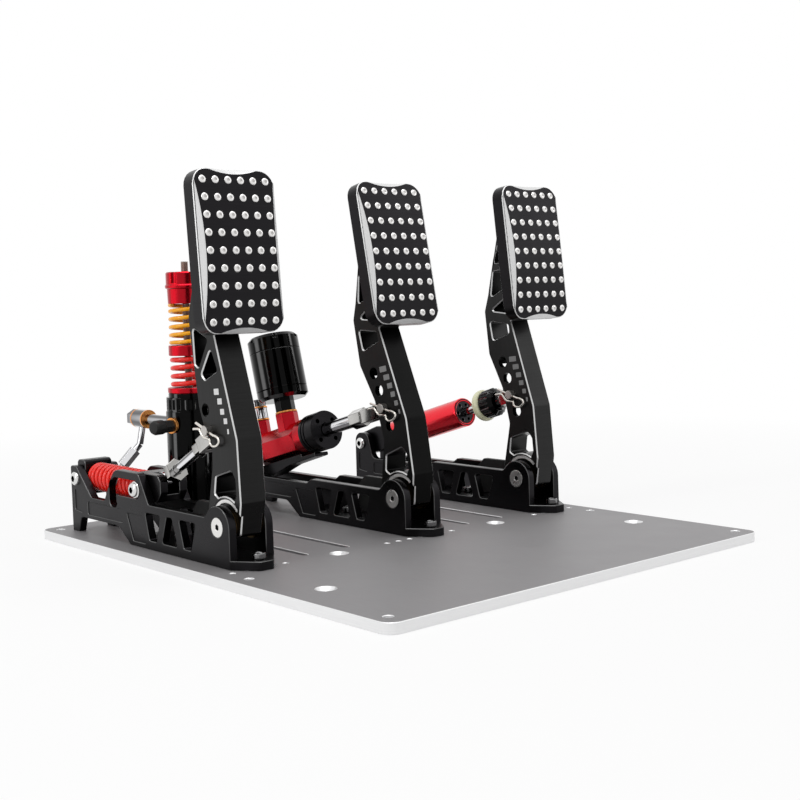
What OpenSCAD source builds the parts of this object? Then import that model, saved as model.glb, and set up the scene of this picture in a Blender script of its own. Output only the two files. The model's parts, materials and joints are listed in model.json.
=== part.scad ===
// Sim racing pedal set: clutch, hydraulic brake and throttle on one base plate.
// Millimetres. +X is the driver's right, +Y points away from the driver, +Z is up.
// The origin is the middle of the underside of the base plate.

/* [Base plate] */
// Plate length, front to back
plate_length = 470; // [468:1:520]
// Plate width
plate_width = 400; // [396:1:440]
// Plate thickness
plate_thickness = 8; // [6:0.5:10]
// Corner radius of the plate
plate_corner = 10; // [4:1:16]

/* [Pedal layout] */
// Middle of the clutch, from the middle of the plate
clutch_x = -161; // [-165:1:-158]
// Middle of the brake
brake_x = 12; // [4:1:20]
// Middle of the throttle
throttle_x = 162; // [158:1:166]
// Backward lean of the clutch arm at rest
clutch_tilt = 4.5; // [3.5:0.5:5.5]
// Backward lean of the brake arm at rest
brake_tilt = 11; // [10:0.5:12]
// Backward lean of the throttle arm at rest
throttle_tilt = 7; // [6:0.5:8]

/* [Frames] */
// Frame width over both side plates
frame_width = 40; // [39:0.5:43]
// Side plate thickness
side_thickness = 7; // [6:0.25:7.5]
// Frame floor thickness
floor_thickness = 7; // [5:0.5:7]
// Height of the pedal pivots above the plate
pivot_height = 30; // [29:0.5:31]
// Diameter of the pivot bolts
pivot_diameter = 10; // [9:0.5:10.5]

/* [Arms and faces] */
// Arm width
arm_width = 23; // [22:0.25:23.5]
// Clevis pin diameter
pin_diameter = 8; // [7:0.25:8.5]
// Face width
face_width = 71; // [69:1:76]
// Face height
face_height = 120; // [118:1:126]
// Radius of the crowned front of a face
face_crown = 384; // [340:1:420]
// Grip stud diameter
stud_diameter = 7; // [5:0.25:7.5]
// Studs across
stud_columns = 6; // [4:1:6]
// Studs up
stud_rows = 9; // [6:1:9]

/* [Springs] */
// Outer diameter of the clutch spring
clutch_spring_diameter = 25; // [23:0.5:25.5]
// Wire diameter of the clutch spring
clutch_spring_wire = 4; // [3.5:0.1:4.2]
// Turns of the clutch spring
clutch_spring_turns = 13; // [11:1:14]
// Outer diameter of the two brake springs
brake_spring_diameter = 31; // [29:0.5:32]
// Wire diameter of the lower brake spring
lower_spring_wire = 4.2; // [3.6:0.1:4.4]
// Turns of the lower brake spring
lower_spring_turns = 3.5; // [3:0.5:4]
// Wire diameter of the upper brake spring
upper_spring_wire = 3.4; // [3:0.1:3.6]
// Turns of the upper brake spring
upper_spring_turns = 5.5; // [4:0.5:5.5]

/* [Cylinders] */
// Width across flats of the master cylinder
master_flats = 27; // [26:0.25:27.5]
// Reservoir diameter
reservoir_diameter = 48; // [42:1:50]
// Brake rod diameter
brake_rod_diameter = 12; // [10:0.5:12.5]
// Throttle tube diameter
throttle_tube_diameter = 28; // [26:0.5:29]
// Free travel between the throttle bumper and its tube
throttle_gap = 24; // [20:0.5:26]
// Hose diameter
hose_diameter = 6; // [5:0.25:6.5]

/* [Hidden] */
round_sides = 40;
small_sides = 20;
stud_sides = 8;
fit = 0.05;          // radial room of a running fit
seat_gap = 0.3;      // room between parts of different bodies
gland_room = 0.5;    // room round a rod where a linkage loop is opened
deck = plate_thickness;

// Pivot, floor and side plates shared by the three frames
frame_front = -35;
frame_rear = 210;
boss_radius = 16;
pivot_y = frame_front + boss_radius;
pivot_z = deck + pivot_height;
inner_half = frame_width/2 - side_thickness;
rail_height = 36;
rear_rail_height = 32;
rear_bolt_y = 200.5;
rear_bolt_height = 46.5;
brake_bolt_height = 50;
rear_bolt_diameter = 8;
bolt_reach = 6;      // how far a rear bolt reaches past the inner face of its side plate
pocket_depth = 0.8;
bolt_head_diameter = 15;
bolt_head_depth = 2.4;
bush_wall = 2;
bush_flange_diameter = 24;
hub_relief = 2;      // arm is thinner by this on each side near its pivot
hub_relief_radius = 20;
bush_diameter = pivot_diameter + 2*bush_wall;
hub_half = arm_width/2 - hub_relief;

// Frame screws
screw_diameter = 6;
screw_head_diameter = 10;
screw_head_height = 5;
screw_places = [-44, 22, 64];

// Arm, in its own frame: y backward and z upward from the pivot, before the lean
clutch_face_back = -15.8;
brake_face_back = -18.8;
throttle_face_back = -21.5;
face_middle = 202;
arm_top = 246;
slot_half = 6.7;
slot_front = -9;
slot_bottom = 48;
slot_top = 106;
pin_local = [2.1, 76.3];
clutch_pin_local = [12, 72];
pin_step = [3.7, 15.4];
face_edge = 12.7;      // thickness of a face along its rim
face_thickness = 16.7; // thickness of a face at the middle of its crown
face_corner = 12;
stud_pitch_x = 11;
stud_pitch_z = 12.9;
stud_height = 1.5;

// Clevis and hairpin clip
prong_inner = 3;
prong_outer = 6.2;
prong_radius = 6;
clip_wire = 2;
clip_x = -14.3;
pin_left = -17;
pin_right = 13.6;
pin_head = 2;

// Clutch carriage, which slides along +Y on rollers in the slots of its frame
slide_height = rear_bolt_height;
slide_bolt_y = 100;
slide_travel = 25.6;
roller_diameter = 14;
carriage_front = 72;
carriage_rear = 112;
carriage_low = 37;
carriage_high = 59.5;
link_end = [84, 54];
link_eye_radius = 7;
link_pin_radius = 3;
link_pin_room = 0.9;
guide_rod_diameter = 10;
rear_block_front = 196.5;
rear_block_rear = 210.5;

// Slave cylinder tower
tower_x = -106;
tower_y = 132;
tower_radius = 20.3;
tower_body_height = 104;
tower_neck_height = 119.4;
lift_seat = 124;
collar_low = 151.5;
collar_high = 160.3;
top_low = 196;
top_high = 223;
tower_rod_top = 231.8;
tower_rod_diameter = 6.5;
port_height = 92;
bleed_height = 92.5;
bleed_turn = 193;
banjo_y = 211.5;
port_neck_end = [-110.3, 212, 77];

// Points that follow from the lean of each arm
function turned(p, t) = [p[0]*cos(t) + p[1]*sin(t), -p[0]*sin(t) + p[1]*cos(t)];
function pin_place(p, t) = [pivot_y, pivot_z] + turned(p, t);
function lean(q, p) = atan2(p[1] - q[1], q[0] - p[0]);
clutch_pin_at = pin_place(clutch_pin_local, clutch_tilt);
brake_pin_at = pin_place(pin_local, brake_tilt);
throttle_pin_at = pin_place(pin_local, throttle_tilt);
clutch_link_at = [link_end[0], deck + link_end[1]];
brake_base_at = [rear_bolt_y, deck + brake_bolt_height];
throttle_base_at = [rear_bolt_y, deck + rear_bolt_height];
clutch_lean = lean(clutch_link_at, clutch_pin_at);
brake_lean = lean(brake_base_at, brake_pin_at);
throttle_lean = lean(throttle_base_at, throttle_pin_at);
clutch_length = norm(clutch_pin_at - clutch_link_at);
brake_length = norm(brake_pin_at - brake_base_at);
throttle_length = norm(throttle_pin_at - throttle_base_at);

// Master cylinder, measured along its own axis from the rear bolts
master_rear = -13;
hexagon_rear = 18;   // the hexagon starts in front of the side plates
hexagon_front = 78;
hexagon_turn = 15;
master_collar = 80.5;
cap_start = 92;
cap_end = 112.5;
collar_diameter = 32.5;
collar_neck = 25;
cap_diameter = 35.5;
master_bore = 19;
piston_place = 66;
reservoir_place = 57;
outlet_place = 14;
boss_top = 27;
reservoir_low = 40;
reservoir_cap_low = 86;
reservoir_high = 101;
banjo_low = 29.6;
banjo_high = 40;

// Throttle strut, measured the same way, and from the clevis pin backward
bumper_back = 52.5;
bumper_thickness = 7.5;
knob_length = 16;
tube_start = 32;
tube_wall = 3;
tube_end = throttle_length - bumper_back - throttle_gap;
throttle_rod_diameter = 8;
throttle_piston_place = 95;
trunnion_stub_end = 44;

// Hose route: out of the tower's fitting, round and down to the plate, along it, up and over to the outlet
hose_start = [-122.5, 215.5, 63];
hose_lead = 8;   // straight length out of the tower's fitting
hose_bend = 27;  // radius of every bend
hose_tail = 33;  // the last bend ends this far left of the brake pedal's middle
hose_end = 24;   // the hose ends this far left of it, inside the outlet's ferrule
drop_steps = 6;
rise_steps = 4;
hose_steps = 2;
hose_sides = 10;
function bend(at, from, to, n) =
  [for (k = [0:n]) let (a = from + (to - from)*k/n) at + hose_bend*[cos(a), sin(a)]];
function eased(f) = f*f*(3 - 2*f);
outlet_at = brake_base_at + outlet_place*[-cos(brake_lean), sin(brake_lean)]
  + (banjo_low + banjo_high)/2*[sin(brake_lean), cos(brake_lean)];
hose_out = unit(hose_start - port_neck_end);
hose_first = hose_start + hose_lead*hose_out;
drop_turn = atan2(hose_out[2], hose_out[0]);
drop_middle = [hose_first[0], hose_first[2]] + hose_bend*[-sin(drop_turn), cos(drop_turn)];
hose_low = drop_middle[1] - hose_bend;
hose_back = hose_first[1] - hose_out[1]*hose_bend*drop_turn*PI/360;
rise_x = brake_x - hose_tail - hose_bend;
run_end = rise_x - hose_bend;
drop_line = bend(drop_middle, drop_turn - 90, -90, drop_steps);
rise_line = concat([for (f = [1/3, 2/3]) [drop_middle[0] + (run_end - drop_middle[0])*f, hose_low]],
  bend([run_end, hose_low + hose_bend], -90, 0, rise_steps), [[rise_x, (hose_low + outlet_at[1])/2]],
  bend([rise_x + hose_bend, outlet_at[1] - hose_bend], 180, 90, rise_steps));
hose_points = concat([hose_start],
  [for (k = [0:drop_steps]) let (f = k/drop_steps)
    [drop_line[k][0], hose_first[1] + (hose_back - hose_first[1])*f*(2 - f), drop_line[k][1]]],
  [for (k = [0:len(rise_line) - 1]) let (f = (k + 1)/len(rise_line))
    [rise_line[k][0], hose_back + (outlet_at[0] - hose_back)*eased(f), rise_line[k][1]]],
  [[brake_x - hose_end, outlet_at[0], outlet_at[1]]]);

// Outlines with rounded corners: each point is [along, up, radius]
function flat(p) = [p[0], p[1]];
function unit(v) = v/norm(v);
function corner(a, p, b, r) =
  let (
    u = unit(flat(a) - flat(p)),
    w = unit(flat(b) - flat(p)),
    half = acos(u*w)/2,
    middle = flat(p) + unit(u + w)*r/sin(half),
    from = flat(p) + u*r/tan(half) - middle,
    to = flat(p) + w*r/tan(half) - middle,
    start = atan2(from[1], from[0]),
    turn = atan2(from[0]*to[1] - from[1]*to[0], from*to),
    steps = r > 8 ? 6 : r > 3 ? 3 : 2
  ) [for (i = [0:steps]) middle + r*[cos(start + turn*i/steps), sin(start + turn*i/steps)]];
function rounded(v) =
  let (n = len(v))
  [for (i = [0:n - 1]) each v[i][2] > 0 ? corner(v[(i + n - 1)%n], v[i], v[(i + 1)%n], v[i][2]) : [flat(v[i])]];

// A side outline, drawn in Y and Z, with its thickness along X
module slab(from, to) {
  translate([from, 0, 0]) rotate([90, 0, 90]) linear_extrude(to - from) children();
}

// A round bar along X
module cross_bar(from, to, r, sides = round_sides) {
  translate([from, 0, 0]) rotate([0, 90, 0]) cylinder(h = to - from, r = r, $fn = sides);
}

// A hexagon with flats facing left and right
module hexagon(flats, h) {
  rotate(30) cylinder(h = h, d = flats/cos(30), $fn = 6);
}

// One unbroken tube along a list of points
module tube(path, r, sides) {
  last = len(path) - 1;
  ahead = [for (i = [0:last]) unit(path[min(i + 1, last)] - path[max(i - 1, 0)])];
  first_up = abs(ahead[0][2]) < 0.8 ? [0, 0, 1] : [1, 0, 0];
  ups = [for (i = 0, u = unit(first_up - (first_up*ahead[0])*ahead[0]); i <= last;
    i = i + 1, u = i <= last ? unit(u - (u*ahead[i])*ahead[i]) : u) u];
  rings = [for (i = [0:last]) for (k = [0:sides - 1])
    path[i] + r*(cos(360*k/sides)*ups[i] + sin(360*k/sides)*cross(ahead[i], ups[i]))];
  walls = [for (i = [0:last - 1]) for (k = [0:sides - 1]) let (
    a = i*sides + k, b = i*sides + (k + 1)%sides) each [[a, b + sides, b], [a, a + sides, b + sides]]];
  start_cap = [for (k = [1:sides - 2]) [0, k, k + 1]];
  end_cap = [for (k = [1:sides - 2]) [last*sides, last*sides + k + 1, last*sides + k]];
  polyhedron(points = rings, faces = concat(walls, start_cap, end_cap), convexity = 6);
}

// A spring's centre line up +Z: round curls, with a straight end as long as the wire is thick
curl_rings = 8;
curl_sides = 6;
function curl_point(r, rise, turns, i) = let (a = i*360/curl_rings)
  [r*cos(a), r*sin(a), rise*i/(turns*curl_rings)];
function spring_path(r, rise, turns, wire) =
  let (
    count = turns*curl_rings,
    curls = [for (i = [0:count]) curl_point(r, rise, turns, i)],
    start = unit(curls[1] - curls[0]),
    end = unit(curls[count] - curls[count - 1])
  ) concat([curls[0] - start*wire], curls, [curls[count] + end*wire]);
function least_gap(path, wire) = min([for (i = [0:len(path) - 1]) for (k = [6:10])
  i + k < len(path) ? norm(path[i + k] - path[i]) - wire : 99]);
module coil(name, outer, wire, turns, from, to) {
  lead = wire*0.57 + seat_gap;
  path = spring_path(outer/2 - wire/2, to - from - 2*lead, turns, wire);
  echo(spring = name, least_gap = least_gap(path, wire));
  translate([0, 0, from + lead]) tube(path, wire/2, curl_sides);
}

// A line that follows points with no sudden change of bend, as a stiff hose lies
function beside(q, i, t) = (pow(1 - t, 3)*q[i] + (3*t*t*t - 6*t*t + 4)*q[i + 1]
  + (-3*t*t*t + 3*t*t + 3*t + 1)*q[i + 2] + t*t*t*q[i + 3])/6;
function laid(p, steps) =
  let (n = len(p) - 1, q = concat([2*p[0] - p[1]], p, [2*p[n] - p[n - 1]]))
  concat([for (i = [0:n - 1]) for (k = [0:steps - 1]) beside(q, i, k/steps)], [p[n]]);

// Placing helpers: a leaning arm, and a strut whose +Z runs from its rear end to its clevis pin
module leaning(x, tilt) {
  translate([x, pivot_y, pivot_z]) rotate([-tilt, 0, 0]) children();
}
module strut(x, base, angle) {
  translate([x, base[0], base[1]]) rotate([90 - angle, 0, 0]) children();
}
module across(y) {
  translate([0, y, 0]) rotate([-90, 0, 0]) children();
}

// Base plate
slot_width = 6;
slot_from = -32;
slot_to = 92;
slot_places = [-108, -67, 67, 108];
big_hole = 8;
big_sink = 16;
corner_hole = 7;
small_hole = 4.5;
row_pitch = 12;
row_y = -44;
module plate_outline() {
  a = plate_width/2;
  b = plate_length/2;
  c = plate_corner;
  polygon(rounded([[-a, -b, c], [a, -b, c], [a, b, c], [-a, b, c]]));
}
module plate_hole(x, y, d) {
  translate([x, y, -1]) cylinder(h = deck + 2, d = d, $fn = small_sides);
}
module base_plate() color([0.42, 0.42, 0.44]) difference() {
  linear_extrude(deck) plate_outline();
  for (x = slot_places) translate([x, 0, -1]) linear_extrude(deck + 2) polygon(rounded([
    [-slot_width/2, slot_from, 2.9], [slot_width/2, slot_from, 2.9],
    [slot_width/2, slot_to, 2.9], [-slot_width/2, slot_to, 2.9]]));
  for (side = [-1, 1]) {
    for (place = [[168, -132], [87, -45.5]]) translate([side*place[0], place[1], 0]) {
      plate_hole(0, 0, big_hole);
      translate([0, 0, deck - (big_sink - big_hole)/2]) cylinder(
        h = (big_sink - big_hole)/2 + 0.01, d1 = big_hole, d2 = big_sink, $fn = small_sides);
    }
    for (y = [-1, 1]) plate_hole(side*(plate_width/2 - 12), y*(plate_length/2 - 15), corner_hole);
    plate_hole(side*187, -68, corner_hole);
    for (x = [clutch_x, brake_x, throttle_x]) for (k = [1, 2])
      if (abs(x + side*k*row_pitch) < plate_width/2 - 8) plate_hole(x + side*k*row_pitch, row_y, small_hole);
  }
  for (k = [3, 4]) plate_hole(brake_x - k*row_pitch, row_y, small_hole);
  for (x = [clutch_x, brake_x, throttle_x]) for (y = screw_places) plate_hole(x, y, screw_diameter + 2*fit);
  for (a = tower_screw_angles) plate_hole(
    tower_x + tower_screw_radius*cos(a), tower_y + tower_screw_radius*sin(a), tower_screw_diameter + 2*fit);
}
tower_screw_radius = 23.6;
tower_screw_diameter = 4;
tower_screw_head = 6.5;
tower_screw_angles = [45:90:315];
tower_foot_radius = 27.5;
tower_foot_height = 8;

// Frames: two side plates, a floor and a pointed front foot, milled from one block
boss_shoulder = boss_radius*tan(22.5) + 0.1;
front_outline = [[frame_front, 0, 0], [frame_front, pivot_height + boss_radius, boss_radius],
  [pivot_y + boss_shoulder, pivot_height + boss_radius, boss_radius],
  [pivot_y + boss_shoulder + pivot_height + boss_radius - rail_height, rail_height, 3]];
arch_outline = [[frame_rear, 0, 0], [frame_rear - 11, 0, 0], [frame_rear - 16, 13.5, 5],
  [129, 13.5, 7], [110, 0, 0]];
function ear_outline(bolt) = [[92, rail_height, 3], [98, rear_rail_height, 3], [183, rear_rail_height, 7],
  [191, bolt + 11, 7], [frame_rear, bolt + 11, 9]];
clutch_rear_outline = [[79.5, rail_height, 3], [94, slide_height + 13.8, 5], [134, slide_height + 13.8, 12],
  [152, rear_rail_height, 3], [174, rear_rail_height, 3], [200, rear_bolt_height + 10.8, 3],
  [frame_rear, rear_bolt_height + 10.8, 2]];
window_low = floor_thickness + 0.3;
window_high = 29.5;
windows = [
  [[85.5, window_high], [62, window_high], [68.3, window_low], [79.5, window_low]],
  [[52.7, window_high], [44.7, window_high], [36.8, window_low], [60.7, window_low]],
  [[34.7, window_high], [10.1, window_high], [17.6, window_low], [28, window_low]]];
pockets = [
  [[115, 26], [89.5, 26], [85.5, 4], [105, 4]],
  [[181.5, 17], [181.5, 28], [122, 28], [122, 17]],
  [[204.5, 19], [204.5, 39], [198, 33], [192, 24], [192, 17.5]]];
foot_tip = -54;
foot_tip_half = 6;
floor_end = 112;
window_corner = 2;

module frame(x, rear_outline, bolt) translate([x, 0, deck]) color([0.1, 0.1, 0.11]) difference() {
  union() {
    for (side = [-1, 1]) slab(min(side*inner_half, side*frame_width/2), max(side*inner_half, side*frame_width/2))
      polygon(rounded(concat(front_outline, rear_outline, arch_outline)));
    translate([-inner_half, frame_front, 0]) cube([2*inner_half, floor_end - frame_front, floor_thickness]);
    linear_extrude(floor_thickness) polygon(rounded([[frame_width/2, frame_front, 0], [-frame_width/2, frame_front, 0],
      [-foot_tip_half, foot_tip, 4], [foot_tip_half, foot_tip, 4]]));
  }
  for (w = windows) slab(-frame_width, frame_width) polygon(rounded([for (p = w) [p[0], p[1], window_corner]]));
  for (side = [-1, 1]) for (p = pockets) slab(
    side*frame_width/2 - pocket_depth, side*frame_width/2 + pocket_depth)
    polygon(rounded([for (q = p) [q[0], q[1], 1.5]]));
  translate([0, pivot_y, pivot_height]) {
    cross_bar(-frame_width, frame_width, pivot_diameter/2 + fit);
    for (side = [-1, 1]) translate([side*frame_width/2, 0, 0])
      cross_bar(-bolt_head_depth, bolt_head_depth, bolt_head_diameter/2 + fit);
  }
  translate([0, rear_bolt_y, bolt]) cross_bar(-frame_width, frame_width, rear_bolt_diameter/2 + fit);
  for (y = screw_places) translate([0, y, -1])
    cylinder(h = floor_thickness + 2, d = screw_diameter + 2*fit, $fn = small_sides);
}

// The clutch frame also has the hooked slots that its carriage rollers run in
slide_slot_half = roller_diameter/2 + seat_gap;
slot_hook_front = 129.5;
slot_hook_rear = 143;
slot_hook_low = 28;
module clutch_frame() color([0.1, 0.1, 0.11]) difference() {
  frame(clutch_x, clutch_rear_outline, rear_bolt_height);
  translate([clutch_x, 0, deck]) slab(-frame_width, frame_width) polygon(rounded([
    [slide_bolt_y - slide_slot_half, slide_height - slide_slot_half, 6.5],
    [slide_bolt_y - slide_slot_half, slide_height + slide_slot_half, 6.5],
    [slot_hook_rear, slide_height + slide_slot_half, 11],
    [slot_hook_rear, slot_hook_low, 6],
    [slot_hook_front, slot_hook_low, 6],
    [slot_hook_front, slide_height - slide_slot_half, 1]]));
}
module brake_frame() frame(brake_x, ear_outline(brake_bolt_height), brake_bolt_height);
module throttle_frame() frame(throttle_x, ear_outline(rear_bolt_height), rear_bolt_height);

// Fasteners that hold the set together
module cap_screw(d, head, head_height, reach) difference() {
  union() {
    translate([0, 0, -reach]) cylinder(h = reach + 0.01, d = d, $fn = small_sides);
    cylinder(h = head_height, d = head, $fn = small_sides);
  }
  translate([0, 0, head_height/2]) cylinder(h = head_height, d = head*0.5, $fn = 6);
}
screw_reach = 12;
module frame_screws() color([0.2, 0.2, 0.21]) {
  for (x = [clutch_x, brake_x, throttle_x]) for (y = screw_places)
    translate([x, y, deck + floor_thickness]) cap_screw(screw_diameter, screw_head_diameter, screw_head_height,
      screw_reach);
  for (a = tower_screw_angles) translate([tower_x + tower_screw_radius*cos(a),
    tower_y + tower_screw_radius*sin(a), deck + tower_foot_height])
    cap_screw(tower_screw_diameter, tower_screw_head, screw_head_height/2, screw_reach);
}

// Pivot bolts are barrel bolts: a long half from the left and a short screw from the right
socket_flats = 5;
thread_diameter = 6;
module flat_head(side) difference() {
  cross_bar(min(0, side*bolt_head_depth), max(0, side*bolt_head_depth), bolt_head_diameter/2);
  cross_bar(min(-side, side*bolt_head_depth*0.7), max(-side, side*bolt_head_depth*0.7), socket_flats/2, 6);
}
module pivot_bolts() color([0.75, 0.75, 0.75]) for (x = [clutch_x, brake_x, throttle_x])
  translate([x, pivot_y, pivot_z]) {
    half = frame_width/2;
    difference() {
      union() {
        translate([-half, 0, 0]) flat_head(1);
        cross_bar(bolt_head_depth - half - 0.01, half - bolt_head_depth - seat_gap, pivot_diameter/2);
      }
      cross_bar(0, half, thread_diameter/2 + fit, small_sides);
    }
    translate([half, 0, 0]) flat_head(-1);
    cross_bar(2, half - bolt_head_depth + 0.01, thread_diameter/2, small_sides);
  }
module pivot_bushings() color([0.72, 0.55, 0.25]) for (x = [clutch_x, brake_x, throttle_x])
  translate([x, pivot_y, pivot_z]) for (side = [-1, 1]) difference() {
    union() {
      cross_bar(side > 0 ? fit : fit - inner_half, side > 0 ? inner_half - fit : -fit, bush_diameter/2);
      cross_bar(side > 0 ? hub_half + fit : fit - inner_half, side > 0 ? inner_half - fit : -hub_half - fit,
        bush_flange_diameter/2);
    }
    cross_bar(-frame_width, frame_width, pivot_diameter/2 + fit);
  }
button_height = 3.2;
button_diameter = 12;
module button_bolt(side, reach) {
  head_from = side*(frame_width/2 + 0.02);
  difference() {
    union() {
      cross_bar(min(head_from, head_from + side*button_height), max(head_from, head_from + side*button_height),
        button_diameter/2);
      cross_bar(min(side*reach, head_from + side*0.1), max(side*reach, head_from + side*0.1), rear_bolt_diameter/2);
    }
    cross_bar(min(head_from + side, head_from + side*9), max(head_from + side, head_from + side*9),
      socket_flats/2, 6);
  }
}
module rear_bolts() color([0.75, 0.75, 0.75]) for (place = [[clutch_x, rear_bolt_height],
  [brake_x, brake_bolt_height], [throttle_x, rear_bolt_height]])
  translate([place[0], rear_bolt_y, deck + place[1]]) for (side = [-1, 1]) button_bolt(side, inner_half - bolt_reach);

// Angle sensors, screwed inside the right side plate of each frame
sensor_front = 16;
sensor_length = 42;
sensor_height = 33;
sensor_thickness = 5;
module pedal_sensors() color([0.05, 0.05, 0.05]) for (x = [clutch_x, brake_x, throttle_x])
  translate([x + inner_half - sensor_thickness - fit, 0, deck + floor_thickness + fit]) slab(0, sensor_thickness)
    polygon(rounded([[sensor_front, 0, 0], [sensor_front + sensor_length, 0, 0],
      [sensor_front + sensor_length, sensor_height - 8, 3], [sensor_front + sensor_length - 8, sensor_height, 3],
      [sensor_front, sensor_height, 3]]));

// Pedal arms
function arm_front(pad, knee) = [[-15, -8, 4], [-21.5, 17, 6], [-22.8, 64, 12], [knee, 143, 0], [pad, 151, 0],
  [pad, arm_top, 0]];
arm_knee = -6.2;
clutch_arm_knee = -3.5;
arm_back = [[-11, arm_top, 4], [0.3, 224, 0], [20, 170, 8], [26.3, 156, 6], [26.3, 116, 9], [14, 84, 9],
  [9.5, 50, 9], [22.5, 10, 8], [17, -11, 8]];
clutch_arm_back = [[-11, arm_top, 4], [2, 224, 0], [24, 174, 8], [30, 158, 6], [27.5, 120, 9], [25, 90, 9],
  [20, 74, 3], [11.5, 60, 6], [13, 44, 9], [23.5, 10, 8], [17, -11, 8]];
arm_windows = [
  [[20.5, 146, 2], [-2, 140.5, 2], [-2, 132.5, 2], [19, 128, 2]],
  [[18, 155.5, 1.5], [-4, 150.5, 2], [-13, 157, 2], [-13, 170, 2]],
  [[16, 168, 1.5], [-13, 178, 2], [-13, 191, 2], [10, 191, 2]],
  [[8.5, 198, 2], [-13, 198, 2], [-13, 226, 2], [-4, 226, 2]]];
clutch_arm_windows = [
  [[25, 150, 2], [6, 140, 2], [21.3, 119, 2], [25.5, 122.5, 2]],
  [[3, 133, 2], [-3.8, 116, 2], [13.5, 109.8, 2], [17.8, 114.5, 2]],
  [[20, 156, 1.5], [-4, 151, 2], [-11.5, 157, 2], [-11.5, 172, 2]],
  [[16, 170, 1.5], [-11.5, 180, 2], [-11.5, 222, 2], [-3, 222, 2]]];
window_arc = 22.5;
foot_window = concat([[9, 36.8, 2], [-12.5, 41.3, 3], [-16.3, 35, 2], [-16, 23, 1.5]],
  [for (a = [125:-14:62]) [window_arc*cos(a), window_arc*sin(a), 0]], [[12.3, 24, 1.5]]);
module pedal_arm(front, back, cuts, first_pin, holes) difference() {
  slab(-arm_width/2, arm_width/2) polygon(rounded(concat(front, back)));
  for (w = concat([foot_window], cuts)) slab(-arm_width, arm_width) polygon(rounded(w));
  translate([-slot_half, slot_front, slot_bottom]) cube([2*slot_half, 60, slot_top - slot_bottom]);
  for (k = holes) translate([0, first_pin[0] + k*pin_step[0], first_pin[1] + k*pin_step[1]])
    cross_bar(-arm_width, arm_width, pin_diameter/2 + fit);
  cross_bar(-arm_width, arm_width, bush_diameter/2 + fit);
  for (side = [-1, 1]) translate([side*(hub_half + arm_width), 0, 0])
    cross_bar(-arm_width, arm_width, hub_relief_radius);
}
module clutch_arm() color([0.1, 0.1, 0.11]) leaning(clutch_x, clutch_tilt)
  pedal_arm(arm_front(clutch_face_back, clutch_arm_knee), clutch_arm_back, clutch_arm_windows, clutch_pin_local,
    [0, 1]);
module brake_arm() color([0.1, 0.1, 0.11]) leaning(brake_x, brake_tilt)
  pedal_arm(arm_front(brake_face_back, arm_knee), arm_back, arm_windows, pin_local, [-1:2]);
module throttle_arm() color([0.1, 0.1, 0.11]) leaning(throttle_x, throttle_tilt)
  pedal_arm(arm_front(throttle_face_back, arm_knee), arm_back, arm_windows, pin_local, [-1:2]);

// Pedal faces: a crowned plate whose four front edges are cut back in shallow arcs
side_cut = 1;
scoop_radius = 107;
scoop_depth = 4;
module pedal_face(back) translate([0, back, face_middle]) difference() {
  a = face_width/2;
  b = face_height/2;
  c = face_corner;
  intersection() {
    rotate([90, 0, 0]) linear_extrude(face_thickness)
      polygon(rounded([[-a, -b, c], [a, -b, c], [a, b, c], [-a, b, c]]));
    translate([0, face_crown - face_thickness, 0]) cross_bar(-face_width, face_width, face_crown, 360);
  }
  for (side = [-1, 1]) translate([side*a, -face_edge, -face_height]) linear_extrude(2*face_height)
    polygon([[0, 0], [side, 0], [side, -face_edge], [-side*side_cut*face_edge, -face_edge]]);
  for (end = [-1, 1]) translate([0, -face_edge, end*(b - scoop_depth)]) rotate([90 + end*45, 0, 0])
    translate([0, end*scoop_radius, 0]) cylinder(h = face_width, r = scoop_radius, center = true, $fn = 72);
}
module face_studs(back) for (i = [0:stud_columns - 1]) for (j = [0:stud_rows - 1]) {
  x = (i - (stud_columns - 1)/2)*stud_pitch_x;
  z = (j - (stud_rows - 1)/2)*stud_pitch_z;
  turn = asin(z/face_crown);
  translate([0, back - face_thickness + face_crown, face_middle]) rotate([-turn, 0, 0])
    translate([x, -face_crown, 0]) rotate([90, 0, 0]) cylinder(h = stud_height, d1 = stud_diameter,
      d2 = stud_diameter*0.7, $fn = stud_sides);
}
module clutch_face() color([0.08, 0.08, 0.08]) leaning(clutch_x, clutch_tilt) pedal_face(clutch_face_back);
module brake_face() color([0.08, 0.08, 0.08]) leaning(brake_x, brake_tilt) pedal_face(brake_face_back);
module throttle_face() color([0.08, 0.08, 0.08]) leaning(throttle_x, throttle_tilt) pedal_face(throttle_face_back);
module clutch_studs() color([0.85, 0.85, 0.85]) leaning(clutch_x, clutch_tilt) face_studs(clutch_face_back);
module brake_studs() color([0.85, 0.85, 0.85]) leaning(brake_x, brake_tilt) face_studs(brake_face_back);
module throttle_studs() color([0.85, 0.85, 0.85]) leaning(throttle_x, throttle_tilt) face_studs(throttle_face_back);

// Clevis pins with a hairpin clip through their left end
clip_slope = [13, 5.6];
clip_points = [[14, 6.03], [7, 3.02], [-7, -3.02], [-12, -4.4], [-15.4, -6.6], [-15.2, -9.4], [-11.6, -11.6],
  [-6.8, -11.8], [-3.6, -9.6], [-3.4, -6.8], [0, -6], [4.6, -5], [7.4, -2.4], [9.4, 0.6], [12, 1.4], [18, 1.4]];
module clevis_pin(place) translate([0, place[0], place[1]]) difference() {
  union() {
    cross_bar(pin_left, pin_right - pin_head + 0.01, pin_diameter/2);
    cross_bar(pin_right - pin_head, pin_right, pin_diameter*0.7);
  }
  translate([clip_x, 0, 0]) rotate([atan2(clip_slope[1], clip_slope[0]) - 90, 0, 0])
    cylinder(h = 3*pin_diameter, r = clip_wire/2 + 0.15, center = true, $fn = small_sides);
}
module hairpin(place) translate([clip_x, place[0], place[1]])
  tube([for (p = clip_points) [0, p[0], p[1]]], clip_wire/2, curl_sides);
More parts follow.
